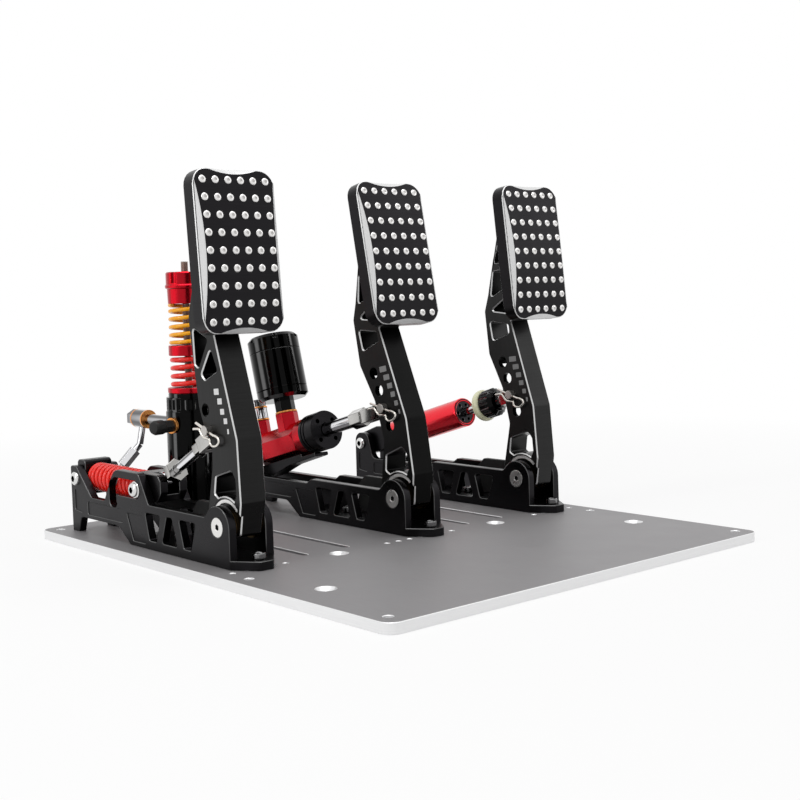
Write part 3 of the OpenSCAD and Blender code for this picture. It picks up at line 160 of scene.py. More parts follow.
away = nodes.new("ShaderNodeVectorMath")
away.operation = "LENGTH"
links.new(spot.outputs["Object"], away.inputs[0])
whiter = nodes.new("ShaderNodeMapRange")
whiter.inputs["From Min"].default_value = glow_near
whiter.inputs["From Max"].default_value = glow_far
whiter.inputs["To Min"].default_value = glow_least
whiter.inputs["To Max"].default_value = glow_most
links.new(away.outputs["Value"], whiter.inputs["Value"])
share = nodes.new("ShaderNodeMath")
share.operation = "MULTIPLY"
links.new(seen.outputs[0], share.inputs[0])
links.new(whiter.outputs[0], share.inputs[1])
blend = nodes.new("ShaderNodeMixShader")
links.new(share.outputs[0], blend.inputs["Fac"])
links.new(nodes["Principled BSDF"].outputs[0], blend.inputs[1])
links.new(glow.outputs[0], blend.inputs[2])
links.new(blend.outputs[0], nodes["Material Output"].inputs["Surface"])
floor_mesh.materials.append(paper)

# Base plate
# One flat sheet of grey anodised aluminium. It is trimmed and drilled after anodising, so its rim,
# holes and countersinks show bare bright metal. The long walls of its slots stay grey.
brushed_grain = bpy.data.node_groups.new("brushed_grain", "ShaderNodeTree")
for label, way, kind in (
    ("Turn", "INPUT", "NodeSocketVector"),
    ("Streak Size", "INPUT", "NodeSocketVector"),
    ("Streaks", "OUTPUT", "NodeSocketFloat"),
    ("Patches", "OUTPUT", "NodeSocketFloat"),
):
    brushed_grain.interface.new_socket(label, in_out=way, socket_type=kind)
put, join = brushed_grain.nodes.new, brushed_grain.links.new
given, result = put("NodeGroupInput"), put("NodeGroupOutput")
coords = put("ShaderNodeTexCoord")
along = put("ShaderNodeMapping")
along.vector_type = "TEXTURE"
join(coords.outputs["Object"], along.inputs["Vector"])
join(given.outputs["Turn"], along.inputs["Rotation"])
join(given.outputs["Streak Size"], along.inputs["Scale"])
streaks = put("ShaderNodeTexNoise")
streaks.inputs["Scale"].default_value = 1
streaks.inputs["Detail"].default_value = 4
streaks.inputs["Roughness"].default_value = 0.62
join(along.outputs[0], streaks.inputs["Vector"])
join(streaks.outputs["Fac"], result.inputs["Streaks"])
patches = put("ShaderNodeTexNoise")
patches.inputs["Scale"].default_value = 26
patches.inputs["Detail"].default_value = 3
join(coords.outputs["Object"], patches.inputs["Vector"])
join(patches.outputs["Fac"], result.inputs["Patches"])
mix_first, mix_second, mix_result = 6, 7, 2     # the colour sockets of a Mix node


def worked_finish(name, tones, rough, grain, turn=(0, 0, 0), relief=0.02, metal=1.0, specular=0.5, coat=0.0,
                  painted_reflection=None):
    """A finish whose tone, gloss and relief follow the marks that the tool left along its grain.
    grain is the size of a mark and relief its depth, in mm. painted_reflection paints reflection into the
    colour:
    it lists levels from where the surface faces the eye (0) to its edge (1), for polished metal and gloss."""
    material = bpy.data.materials.new(name)
    material.use_nodes = True
    nodes, links = material.node_tree.nodes, material.node_tree.links
    shader = nodes["Principled BSDF"]
    shader.inputs["Metallic"].default_value = metal
    shader.inputs["Specular IOR Level"].default_value = specular
    shader.inputs["Coat Weight"].default_value = coat
    shader.inputs["Coat Roughness"].default_value = 0.06
    grained = nodes.new("ShaderNodeGroup")
    grained.node_tree = brushed_grain
    grained.inputs["Turn"].default_value = turn
    grained.inputs["Streak Size"].default_value = [size*mm for size in grain]
    tone = nodes.new("ShaderNodeMix")
    tone.data_type = "RGBA"
    tone.inputs[mix_first].default_value = (*tones[0], 1)
    tone.inputs[mix_second].default_value = (*tones[1], 1)
    links.new(grained.outputs["Streaks"], tone.inputs["Factor"])
    links.new(tone.outputs[mix_result], shader.inputs["Base Color"])
    # Painted reflection: bands multiplied into the colour by how far the surface turns from the eye, standing
    # in for the dark and bright things it would mirror.
    if painted_reflection:
        facing = nodes.new("ShaderNodeLayerWeight")
        bands = nodes.new("ShaderNodeValToRGB")
        bands.color_ramp.interpolation = "EASE"
        stops = bands.color_ramp.elements
        while len(stops) < len(painted_reflection):
            stops.new(0.5)
        for stop, (place, share) in zip(stops, painted_reflection):
            stop.position = place
            stop.color = (share, share, share, 1)
        links.new(facing.outputs["Facing"], bands.inputs["Fac"])
        shaded = nodes.new("ShaderNodeMix")
        shaded.data_type = "RGBA"
        shaded.blend_type = "MULTIPLY"
        shaded.inputs["Factor"].default_value = 1
        links.new(tone.outputs[mix_result], shaded.inputs[mix_first])
        links.new(bands.outputs["Color"], shaded.inputs[mix_second])
        links.new(shaded.outputs[mix_result], shader.inputs["Base Color"])
    gloss = nodes.new("ShaderNodeMapRange")
    gloss.inputs["From Min"].default_value = 0.3
    gloss.inputs["From Max"].default_value = 0.7
    gloss.inputs["To Min"].default_value = rough[0]
    gloss.inputs["To Max"].default_value = rough[1]
    links.new(grained.outputs["Patches"], gloss.inputs["Value"])
    links.new(gloss.outputs[0], shader.inputs["Roughness"])
    bump = nodes.new("ShaderNodeBump")
    bump.inputs["Strength"].default_value = 0.5
    bump.inputs["Distance"].default_value = relief*mm
    links.new(grained.outputs["Streaks"], bump.inputs["Height"])
    links.new(bump.outputs[0], shader.inputs["Normal"])
    return material


plate_grey = worked_finish("grey_anodised_plate", tones=((0.25, 0.243, 0.248), (0.33, 0.321, 0.328)),
                           rough=(0.5, 0.56), grain=(0.25, 24, 1), relief=0.008, metal=0.4, specular=0.3)
bare_alloy = worked_finish("bare_cut_alloy", tones=((0.78, 0.78, 0.79), (0.92, 0.92, 0.92)),
                           rough=(0.28, 0.4), grain=(30, 30, 0.25), relief=0.01, metal=0.5)
sharp_from = radians(38)     # edges that turn more than this are drawn sharp
merge_reach, flat_within = 0.004*mm, radians(0.6)
slot_wall_area, rim_depth = 100*mm*mm, 10*mm


def body_of(node):
    """The body that a CAD node rides."""
    return next(body for body, empty in frame["bodies"].items() if empty == frame["nodes"][node].parent)


def made_piece(name, bm, finishes, node, body=None, trim=False):
    """Makes a finished bmesh a piece that stands for its CAD node, unless it is only trim on it.
    It rides the node's own body unless another is named."""
    for face in bm.faces:
        face.smooth = True
    for edge in bm.edges:
        edge.smooth = (
            edge.is_manifold
            and edge.calc_face_angle(0) < sharp_from
            and edge.link_faces[0].material_index == edge.link_faces[1].material_index
        )
    mesh = bpy.data.meshes.new(name)
    bm.to_mesh(mesh)
    bm.free()
    for material in finishes:
        mesh.materials.append(material)
    piece = bpy.data.objects.new(name, mesh)
    bpy.context.scene.collection.objects.link(piece)
    flats = piece.modifiers.new("crisp_flats", "WEIGHTED_NORMAL")
    flats.keep_sharp = True
    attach(piece, body or body_of(node))
    if not trim:
        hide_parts(node)
    return piece


def solid_of(node):
    """A copy of a CAD solid with its loose triangles merged into whole faces."""
    bm = bmesh.new()
    bm.from_mesh(frame["nodes"][node].data)
    bmesh.ops.remove_doubles(bm, verts=bm.verts, dist=merge_reach)
    bmesh.ops.dissolve_limit(bm, angle_limit=flat_within, verts=bm.verts, edges=bm.edges)
    return bm


def machined(node, finishes, cut, steps=1, surface=None, corner=50, keep_sharp=None, opened=None):
    """A CAD solid with its outer edges cut back in mm. surface gives each face's finish, and the cut shows
    the last one. keep_sharp picks edges by their middle, and opened changes the solid before the cut."""
    bm = solid_of(node)
    if opened:
        opened(bm)
    for face in bm.faces:
        face.material_index = surface(face) if surface else 0
    edges = [
        edge for edge in bm.edges
        if edge.is_manifold and edge.calc_face_angle_signed() > radians(corner)
        and not (keep_sharp and keep_sharp((edge.verts[0].co + edge.verts[1].co)/2))
    ]
    cuts = bmesh.ops.bevel(bm, geom=edges, offset=cut*mm, offset_type="OFFSET", segments=steps, profile=0.5,
                           affect="EDGES", clamp_overlap=False, material=-1)
    for face in cuts["faces"]:
        face.material_index = len(finishes) - 1
    return made_piece(node + "_part", bm, finishes, node)


def plate_surface(face):
    """Bright on every wall but those along the slots."""
    slot_wall = abs(face.normal.x) > 0.95 and face.calc_area() > slot_wall_area
    at_rim = abs(face.calc_center_median().x) > cad_box[1][0] - rim_depth
    return int(abs(face.normal.z) < 0.9 and (at_rim or not slot_wall))


machined("base_plate", (plate_grey, bare_alloy), cut=0.5, surface=plate_surface)

# Frames
# Each pedal stands in a frame milled from one block of aluminium: two side plates,
# a floor and a pointed foot. It is anodised black, and its edges are painted dark grey as a painted
# highlight.
satin_black = worked_finish("satin_black_alloy", tones=((0.01, 0.0095, 0.0105), (0.024, 0.023, 0.025)),
                            rough=(0.26, 0.36), grain=(30, 18, 0.3), relief=0.006)
# Painted highlight: the edges are painted grey for the glint that black chamfers catch from the lamps.
painted_edge_highlight = worked_finish("black_edge_painted_highlight", tones=((0.05, 0.05, 0.051), (0.13, 0.13, 0.13)),
                            rough=(0.28, 0.4), grain=(12, 12, 12), relief=0.004)
for node in ("clutch_frame", "brake_frame", "throttle_frame"):
    machined(node, (satin_black, painted_edge_highlight), cut=0.5)

# Frame screws
# Black socket-head screws through the floors and the pointed feet, and small ones
# through the foot of the brake tower. They are steel with a shiny black chrome skin.
black_chrome = worked_finish("black_chrome_steel", tones=((0.12, 0.12, 0.122), (0.26, 0.26, 0.262)),
                             rough=(0.1, 0.18), grain=(0.5, 0.5, 0.5), relief=0.004)
machined("frame_screws", (black_chrome,), cut=0.9, steps=3, corner=70)

# Pivot bolts and bushings
# A barrel bolt through each frame carries its pedal on two flanged bronze bushes.
# Its flat head is faced on the lathe and sits in a counterbore, and its socket is painted dark as painted
# shade.
turned_rings = bpy.data.node_groups.new("turned_rings", "ShaderNodeTree")
for label, way, kind in (
    ("Centre", "INPUT", "NodeSocketVector"),
    ("Rings", "OUTPUT", "NodeSocketFloat"),
):
    turned_rings.interface.new_socket(label, in_out=way, socket_type=kind)
put, join = turned_rings.nodes.new, turned_rings.links.new
given, result = put("NodeGroupInput"), put("NodeGroupOutput")
coords = put("ShaderNodeTexCoord")
centred = put("ShaderNodeVectorMath")
centred.operation = "SUBTRACT"
join(coords.outputs["Object"], centred.inputs[0])
join(given.outputs["Centre"], centred.inputs[1])
rings = put("ShaderNodeTexWave")
rings.wave_type = "RINGS"
rings.rings_direction = "X"
rings.inputs["Scale"].default_value = 700
rings.inputs["Distortion"].default_value = 1.5
rings.inputs["Detail"].default_value = 2
join(centred.outputs[0], rings.inputs["Vector"])
join(rings.outputs["Fac"], result.inputs["Rings"])

pivot_y, pivot_z = -19, 38
faced_steel = worked_finish("faced_steel", tones=((0.72, 0.71, 0.69), (0.86, 0.85, 0.83)),
                            rough=(0.26, 0.38), grain=(0.4, 0.4, 0.4), relief=0.008)
nodes, links = faced_steel.node_tree.nodes, faced_steel.node_tree.links
faced = nodes.new("ShaderNodeGroup")
faced.node_tree = turned_rings
faced.inputs["Centre"].default_value = (0, pivot_y*mm, pivot_z*mm)
links.new(faced.outputs["Rings"], nodes["Bump"].inputs["Height"])
# Painted shade: the socket is coloured near black for the shade deep inside it.
socket_painted_shade = worked_finish("socket_painted_shade", tones=((0.008, 0.008, 0.008), (0.02, 0.02, 0.02)),
                             rough=(0.3, 0.45), grain=(0.6, 0.6, 0.6), metal=0, specular=0.2)
socket_reach, socket_area = 2.95*mm, 35*mm*mm


def socketed(face):
    """Painted shade inside a socket, but not on the wide flats that share its middle."""
    middle = face.calc_center_median()
    in_socket = hypot(middle.y - pivot_y*mm, middle.z - pivot_z*mm) < socket_reach
    return int(in_socket and face.calc_area() < socket_area)


machined("pivot_bolts", (faced_steel, socket_painted_shade, faced_steel), cut=0.35, steps=2, surface=socketed)
# The bronze is painted much darker than bronze, as painted shade in the narrow gap between the arm and the
# frame.
bush_bronze_painted_shade = worked_finish("bush_bronze_painted_shade", tones=((0.2, 0.13, 0.06), (0.3, 0.2, 0.1)), rough=(0.28, 0.44),
                            grain=(0.3, 6, 6))
machined("pivot_bushings", (bush_bronze_painted_shade,), cut=0.3, steps=2)

# Rear bolts
# Two button-head bolts at the back of each frame hold the foot of its strut. They are bright
# stainless steel: a turned dome on a plain shank, with a hexagon socket pressed into it.
pedal_places = {"clutch": -161, "brake": 12, "throttle": 162}
strut_heights = {"clutch": 54.5, "brake": 58, "throttle": 54.5}
frame_half, rear_y, head_gap = 20, 200.5, 0.02
bright_stainless = worked_finish("bright_stainless", tones=((0.62, 0.62, 0.61), (0.78, 0.78, 0.77)),
                                 rough=(0.14, 0.26), grain=(0.6, 0.6, 0.6), relief=0.005)
weld_reach = 0.002*mm


def turned(bm, outline, place, steps=24):
    """A lathe shape: an outline of radius and height in mm, spun about its own Z and set in its place."""
    before = set(bm.verts)
    line = [bm.verts.new((radius*mm, 0, height*mm)) for radius, height in outline]
    edges = [bm.edges.new(pair) for pair in zip(line, line[1:])]
    bmesh.ops.spin(bm, geom=line + edges, cent=(0, 0, 0), axis=(0, 0, 1), angle=2*pi, steps=steps,
                   use_merge=True)
    bmesh.ops.remove_doubles(bm, verts=[vert for vert in bm.verts if vert not in before], dist=weld_reach)
    made = [vert for vert in bm.verts if vert not in before]
    bmesh.ops.transform(bm, matrix=place, verts=made)
    return made


def button_bolt(bm, place, shank, reach, head, height, flats, depth):
    """A domed bolt along its own Z, in mm: the shank below zero, the dome above it, and a hexagon socket
    in the dome. shank and head are radii."""
    mouth, brim, tip = flats*0.66, 0.25, 0.6     # lip of the socket, straight share of the head, end chamfer
    turns = [radians(degrees) for degrees in range(0, 91, 15)]
    dome = [(mouth + (head - mouth)*cos(turn), height*(brim + (1 - brim)*sin(turn))) for turn in turns]
    outline = [(0, -reach), (shank - tip, -reach), (shank, tip - reach), (shank, 0), (head, 0), *dome]
    made = turned(bm, outline, Matrix())
    top = max(vert.co.z for vert in made)
    rim = {vert for vert in made if vert.co.z > top - weld_reach}
    lip = [edge for edge in bm.edges if edge.is_boundary and rim.issuperset(edge.verts)]
    level = Matrix.Translation((0, 0, top))
    hexagon = bmesh.ops.create_circle(bm, segments=6, radius=flats/sqrt(3)*mm, matrix=level)["verts"]
    sides = list({edge for vert in hexagon for edge in vert.link_edges})
    bmesh.ops.bridge_loops(bm, edges=lip + sides)
    wall = bmesh.ops.extrude_edge_only(bm, edges=sides)["geom"]
    sunk = [part for part in wall if isinstance(part, bmesh.types.BMVert)]
    bmesh.ops.translate(bm, verts=sunk, vec=(0, 0, -depth*mm))
    bmesh.ops.contextual_create(bm, geom=[part for part in wall if isinstance(part, bmesh.types.BMEdge)])
    bmesh.ops.transform(bm, matrix=place, verts=made + hexagon + sunk)


def bolt_pair(bm, pedal, y, gap):
    """A bolt from each side of a pedal's frame, its head just clear of the side plate."""
    for side in (-1, 1):
        head_x = pedal_places[pedal] + side*(frame_half + gap)
        place = Matrix.Translation(Vector((head_x, y, strut_heights[pedal]))*mm)
        button_bolt(bm, place @ Matrix.Rotation(side*pi/2, 4, "Y"), shank=4, reach=13, head=6, height=3.2,
                    flats=5, depth=2.2)


bm = bmesh.new()
for pedal in pedal_places:
    bolt_pair(bm, pedal, rear_y, head_gap)
bmesh.ops.recalc_face_normals(bm, faces=bm.faces)
made_piece("rear_bolts_part", bm, (bright_stainless,), "rear_bolts")

# Pedal sensors
# A flat black box screwed inside the right side plate of each frame reads the arm's angle.
# It is a moulded plastic housing with rounded edges and a fine matt texture.
moulded_black = worked_finish("moulded_black", tones=((0.008, 0.008, 0.008), (0.016, 0.016, 0.016)),
                              rough=(0.4, 0.54), grain=(0.35, 0.35, 0.35), relief=0.03, metal=0,
                              specular=0.25)
machined("pedal_sensors", (moulded_black,), cut=0.6, steps=2)

# Pedal arms
# Three arms milled from plate, with truss windows, a slot for the clevis and a row of pin holes. The sides
# are brushed along the arm, its edges are plain black, and a bright chamfer follows outline and windows.
arm_leans = {"clutch": 4.5, "brake": 11, "throttle": 7}
# The arms are one black anodising, but each gets its own tone as painted light and shade: the brake arm,
# mirroring the dark parts round it, is painted darkest, most of all on its front.
side_tones_light_and_shade = {"clutch": 0.026, "brake": 0.018, "throttle": 0.03}
front_tones_light_and_shade = {"clutch": 0.02, "brake": 0.007, "throttle": 0.024}
pin_places = {"clutch": (12, 72), "brake": (2.1, 76.3), "throttle": (2.1, 76.3)}
pin_steps = {"clutch": range(0, 2), "brake": range(-1, 3), "throttle": range(-1, 3)}
pin_step_y, pin_step_z = 3.7, 15.4
hole_wall, hole_growth = 4.8*mm, 1.25     # the walls inside this reach are opened by this much
hole_reach = 6*mm                         # edges nearer than this aren't chamfered
chamfer_alloy = worked_finish("bright_chamfer", tones=((0.5, 0.5, 0.5), (0.64, 0.64, 0.64)),
                              rough=(0.26, 0.38), grain=(8, 8, 8), relief=0.004)


def arm_place(pedal):
    """The frame of an arm: its pivot, with Z up along the arm and Y behind it."""
    middle = Vector((pedal_places[pedal], pivot_y, pivot_z))*mm
    return Matrix.Translation(middle) @ Matrix.Rotation(radians(-arm_leans[pedal]), 4, "X")


def pin_hole(pedal, step):
    """The middle of a pin hole, some steps up the arm from the one that the pin is in."""
    y, z = pin_places[pedal]
    return arm_place(pedal) @ (Vector((0, y + step*pin_step_y, z + step*pin_step_z))*mm)


def black_tones(tone):
    """The darkest and the palest mark of a black finish."""
    return (tone*0.6,)*3, (tone*1.4,)*3


def arm_surface(face):
    """Brushed on the flat sides, plain on the edges."""
    return int(abs(face.normal.x) < 0.9)


for pedal, lean in arm_leans.items():
    side_black = worked_finish(pedal + "_arm_brushed", black_tones(side_tones_light_and_shade[pedal]), rough=(0.3, 0.4),
                               grain=(20, 0.25, 30), turn=(radians(-lean), 0, 0), relief=0.008)
    edge_black = worked_finish(pedal + "_arm_front", black_tones(front_tones_light_and_shade[pedal]), rough=(0.26, 0.36),
                               grain=(30, 18, 0.3), relief=0.006)
    holes = {step: pin_hole(pedal, step) for step in pin_steps[pedal]}

    def at_pin_hole(middle):
        return any(hypot(middle.y - hole.y, middle.z - hole.z) < hole_reach for hole in holes.values())

    def opened_holes(bm):
        """Opens the empty holes a little, and leaves the one that the pin is in."""
        for step, hole in holes.items():
            if step:
                wall = [v for v in bm.verts if hypot(v.co.y - hole.y, v.co.z - hole.z) < hole_wall]
                bmesh.ops.scale(bm, vec=(1, hole_growth, hole_growth), space=Matrix.Translation(-hole),
                                verts=wall)

    machined(pedal + "_arm", (side_black, edge_black, chamfer_alloy), cut=0.9, surface=arm_surface,
             keep_sharp=at_pin_hole, opened=opened_holes)

# Hub steps
# The round relief milled into each side of an arm, where its hub turns between the frame's ears,
# leaves a bright curved step. It shows as a crescent over the ear.
hub_half, step_spread, step_parts = 9.5, radians(104), 24
step_outline = ((17.2, 0), (17.2, 0.7), (17.6, 1.1), (19.9, 1.1), (19.9, 0))
step_alloy = worked_finish("bright_step", tones=((0.8, 0.79, 0.78), (0.92, 0.91, 0.9)), rough=(0.34, 0.46),
                           grain=(0.5, 0.5, 0.5), relief=0.006, metal=0.5)
for pedal in arm_leans:
    bm = bmesh.new()
    for side in (-1, 1):
        line = [bm.verts.new((side*(hub_half + depth)*mm, 0, radius*mm)) for radius, depth in step_outline]
        edges = [bm.edges.new(pair) for pair in zip(line, line[1:] + line[:1])]
        bmesh.ops.rotate(bm, verts=line, cent=(0, 0, 0), matrix=Matrix.Rotation(-step_spread/2, 3, "X"))
        bmesh.ops.spin(bm, geom=line + edges, cent=(0, 0, 0), axis=(1, 0, 0), angle=step_spread,
                       steps=step_parts)
    bmesh.ops.holes_fill(bm, edges=[edge for edge in bm.edges if edge.is_boundary])
    bmesh.ops.recalc_face_normals(bm, faces=bm.faces)
    bmesh.ops.transform(bm, matrix=arm_place(pedal), verts=bm.verts)
    made_piece(pedal + "_hub_steps", bm, (step_alloy,), pedal + "_arm", trim=True)

# Graduation marks
# Small squares and a bar etched down the left side of each arm, beside its pin holes.
# They are bare metal where the black is burnt away, a hair proud of the side.
arm_side, mark_depth, mark_corner = -11.5, 0.06, 0.5
etched_metal = worked_finish("etched_metal", tones=((0.24, 0.24, 0.24), (0.34, 0.34, 0.34)),
                             rough=(0.45, 0.6), grain=(0.3, 0.3, 0.3), metal=0, specular=0.3)
etched_bright = worked_finish("etched_bright", tones=((0.62, 0.62, 0.62), (0.78, 0.78, 0.78)),
                              rough=(0.4, 0.55), grain=(0.3, 0.3, 0.3), metal=0, specular=0.3)
# The places of the marks along the arm's Y and Z, with their widths and heights
wide_row = ((-3.3, 108.6, 8.6, 4.8), (-6.2, 101.2, 7.4, 4.6), (-8.7, 93.6, 6.3, 4.5), (-11, 86.1, 5.4, 4.4),
            (-13.5, 78.3, 4.5, 4.2), (-15.8, 70.7, 2.2, 3.8))
clutch_row = ((-1, 100.6, 6.4, 4.6), (-4.4, 93.3, 5.8, 4.5), (-6.8, 85.5, 5.2, 4.3), (-10.2, 78.4, 4.6, 4.2),
              (-12.6, 70.7, 2.2, 3.8))
for pedal, row, etch in (("clutch", clutch_row, etched_bright), ("brake", wide_row, etched_metal),
                         ("throttle", wide_row, etched_metal)):
    bm = bmesh.new()
    for y, z, wide, high in row:
        size = Matrix.Diagonal((mark_depth*mm, wide*mm, high*mm, 1))
        spot = Matrix.Translation(Vector((arm_side, y, z))*mm) @ size
        bmesh.ops.create_cube(bm, size=1, matrix=arm_place(pedal) @ spot)
    corners = [edge for edge in bm.edges if abs(edge.verts[0].co.x - edge.verts[1].co.x) > mark_depth/2*mm]
    bmesh.ops.bevel(bm, geom=corners, offset=mark_corner*mm, offset_type="OFFSET", segments=3, profile=0.5,
                    affect="EDGES", material=-1)
    made_piece(pedal + "_marks", bm, (etch,), pedal + "_arm", trim=True)

# Pedal faces
# Crowned plates bolted to the arms. The front and the rim are black, and the shallow
# scoops cut along all four front edges are left bare, with a fine cutter grain.
scooped_alloy = worked_finish("scooped_alloy", tones=((0.64, 0.64, 0.64), (0.78, 0.78, 0.78)),
                              rough=(0.34, 0.46), grain=(0.5, 6, 0.5), relief=0.01, metal=0.45)
brink_depth = 3*mm
for pedal, lean in arm_leans.items():
    upright = Matrix.Rotation(radians(lean), 3, "X")
    low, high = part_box(pedal + "_face")
    brink_from = (high[0] - low[0])/2 - brink_depth

    def face_surface(face):
        """Bare in the scoops, and on the narrow brink between a side scoop and the rim."""
        normal = upright @ face.normal
        in_front = normal.y < -0.25
        scooped = abs(normal.x) > 0.3 or abs(normal.z) > 0.35
        on_brink = abs(face.calc_center_median().x - pedal_places[pedal]*mm) > brink_from
        return int(in_front and (scooped or on_brink))

    machined(pedal + "_face", (satin_black, scooped_alloy), cut=0.6, surface=face_surface, corner=40)

# Grip studs
# Fifty-four low steel studs are pressed into each face, square to its crown.
# Each is a turned button with a rounded rim and a small cup in its top, which is painted darker as painted
# shade.
stud_steel = worked_finish("stud_steel", tones=((0.66, 0.65, 0.64), (0.82, 0.81, 0.8)), rough=(0.2, 0.32),
                           grain=(0.5, 0.5, 0.5), relief=0.006)
# Painted shade: the cup in each stud's top is given a darker colour than the rest of the stud.
stud_cup_painted_shade = worked_finish("stud_cup_painted_shade", tones=((0.34, 0.33, 0.32), (0.5, 0.49, 0.48)), rough=(0.24, 0.36),
                         grain=(0.5, 0.5, 0.5), relief=0.006)
button = ((3.05, 0), (2.98, 0.5), (2.6, 0.95), (1.95, 1.2), (1.3, 1.22), (0.7, 0.98), (0, 0.9))
cup_radius, stud_sides, seat_least = 1.2, 8, 0.8
for pedal in arm_leans:
    solid = solid_of(pedal + "_studs")
    ends = [face for face in solid.faces if len(face.verts) == stud_sides]
    widest = max(face.calc_area() for face in ends)
    bm = bmesh.new()
    for seat in ends:
        if seat.calc_area() > seat_least*widest:
            outward = (-seat.normal).to_track_quat("Z", "Y").to_matrix().to_4x4()
            place = Matrix.Translation(seat.calc_center_median()) @ outward
            made = turned(bm, button, place, steps=14)
            # The faces in the cup take the painted shade.
            for face in {face for vert in made for face in vert.link_faces}:
                inward = (place.inverted() @ face.calc_center_median()).xy.length
                face.material_index = int(inward < cup_radius*mm)
    solid.free()
    bmesh.ops.recalc_face_normals(bm, faces=bm.faces)
    made_piece(pedal + "_studs_part", bm, (stud_steel, stud_cup_painted_shade), pedal + "_studs")

# Clevis pins and hairpin clips
# A plain steel pin joins each arm to its fork, and a hairpin clip bent from bright round wire
# goes through its left end and keeps it in.
pin_steel = worked_finish("pin_steel", tones=((0.42, 0.4, 0.38), (0.6, 0.58, 0.55)), rough=(0.25, 0.4),
                          grain=(0.5, 3, 3))
bright_wire = worked_finish("bright_wire", tones=((0.66, 0.63, 0.58), (0.8, 0.77, 0.72)), rough=(0.16, 0.28),
                            grain=(1, 1, 1), relief=0.004)
clip_x, clip_wire = -14.3, 2
clip_bends = ((14, 6.03), (7, 3.02), (-7, -3.02), (-12, -4.4), (-15.4, -6.6), (-15.2, -9.4), (-11.6, -11.6),
              (-6.8, -11.8), (-3.6, -9.6), (-3.4, -6.8), (0, -6), (4.6, -5), (7.4, -2.4), (9.4, 0.6),
              (12, 1.4), (18, 1.4))


def smooth_route(points, steps):
    """A smooth line through given points."""
    route = []
    for i in range(len(points) - 1):
        a, b, c, d = points[max(i - 1, 0)], points[i], points[i + 1], points[min(i + 2, len(points) - 1)]
        for k in range(steps):
            t = k/steps
            route.append(b + (c - a)*(t/2) + (2*a - 5*b + 4*c - d)*(t*t/2) + (3*b - a - 3*c + d)*(t**3/2))
    return route + [points[-1]]


def round_wire(bm, route, radius, sides):
    """A round wire along a route: a ring at every point, bridged to the next. Returns the rings."""
    rings = []
    side = Vector((0.3, 0.2, 1))
    for i, point in enumerate(route):
        ahead = (route[min(i + 1, len(route) - 1)] - route[max(i - 1, 0)]).normalized()
        side = (side - ahead*side.dot(ahead)).normalized()
        turn = Matrix((side, ahead.cross(side), ahead)).transposed().to_4x4()
        place = Matrix.Translation(point) @ turn
        verts = bmesh.ops.create_circle(bm, segments=sides, radius=radius, matrix=place)["verts"]
        rings.append((verts, list({edge for vert in verts for edge in vert.link_edges})))
    for one, other in zip(rings, rings[1:]):
        bmesh.ops.bridge_loops(bm, edges=one[1] + other[1])
    bmesh.ops.contextual_create(bm, geom=rings[0][1])
    bmesh.ops.contextual_create(bm, geom=rings[-1][1])
    bmesh.ops.recalc_face_normals(bm, faces=bm.faces)
    return [verts for verts, edges in rings]


for pedal in arm_leans:
    machined(pedal + "_pin", (pin_steel,), cut=0.5, steps=2)
    at = Vector((clip_x, *pin_places[pedal]))
    bends = [arm_place(pedal) @ ((at + Vector((0, y, z)))*mm) for y, z in clip_bends]
    bm = bmesh.new()
    round_wire(bm, smooth_route(bends, steps=4), clip_wire/2*mm, sides=12)
    made_piece(pedal + "_clip_part", bm, (bright_wire,), pedal + "_clip")

# Clevis forks
# Forks milled from steel and brightly plated. Two rounded prongs hold the pin inside the arm's slot,
# and a hexagon shank behind them is screwed on the rod.
# Painted reflection on plated and chromed parts: bright at the middle, dark bands further out and bright
# again at the rim.
chrome_painted_reflection = ((0, 0.9), (0.3, 0.45), (0.42, 1), (0.56, 0.15), (0.68, 0.15), (0.84, 0.9))
plated_fork = worked_finish("plated_fork", tones=((0.56, 0.55, 0.53), (0.72, 0.71, 0.69)),
                            rough=(0.05, 0.12), grain=(0.5, 2, 2), relief=0.002, painted_reflection=chrome_painted_reflection)
for pedal in arm_leans:
    machined(pedal + "_clevis", (plated_fork,), cut=0.6, steps=2)

# Clutch pushrod and locknut
# A chromed steel rod with a flat eye on the carriage pin. Its front end is threaded into the fork,
# where a thin plated nut locks it.
# The chrome carries the same painted reflection.
chrome = worked_finish("chrome", tones=((0.76, 0.76, 0.78), (0.88, 0.88, 0.9)), rough=(0.05, 0.11),
                       grain=(0.5, 9, 9), relief=0.002, painted_reflection=chrome_painted_reflection)
machined("clutch_pushrod", (chrome,), cut=0.5, steps=2)
machined("clutch_locknut", (plated_fork,), cut=0.6, steps=2)

# Clutch carriage
# A black block that slides back along the hooked slots of the frame. A stainless bolt with a roller
# on each side carries it, a chromed rod guides it, and the rear block takes the rod's end.
carriage_y, roller_gap = 100, 0.32
roller_outline = ((4, 13.05), (6.5, 13.05), (7, 13.55), (7, 20.1), (6.5, 20.6), (4, 20.6))
carriage_middle = Vector((pedal_places["clutch"], carriage_y, strut_heights["clutch"]))*mm
# The carriage's edges carry the painted highlight too.
machined("clutch_carriage", (satin_black, painted_edge_highlight), cut=0.5)
bm = bmesh.new()
bolt_pair(bm, "clutch", carriage_y, roller_gap)
for side in (-1, 1):
    roller = Matrix.Translation(carriage_middle) @ Matrix.Rotation(side*pi/2, 4, "Y")
    turned(bm, roller_outline, roller, steps=32)
bmesh.ops.recalc_face_normals(bm, faces=bm.faces)
made_piece("clutch_slide_bolts_part", bm, (bright_stainless,), "clutch_slide_bolts")
machined("clutch_guide_rod", (chrome,), cut=0.4, steps=2)
# The rear block's edges carry the painted highlight too.
machined("clutch_rear_block", (satin_black, painted_edge_highlight), cut=0.6)

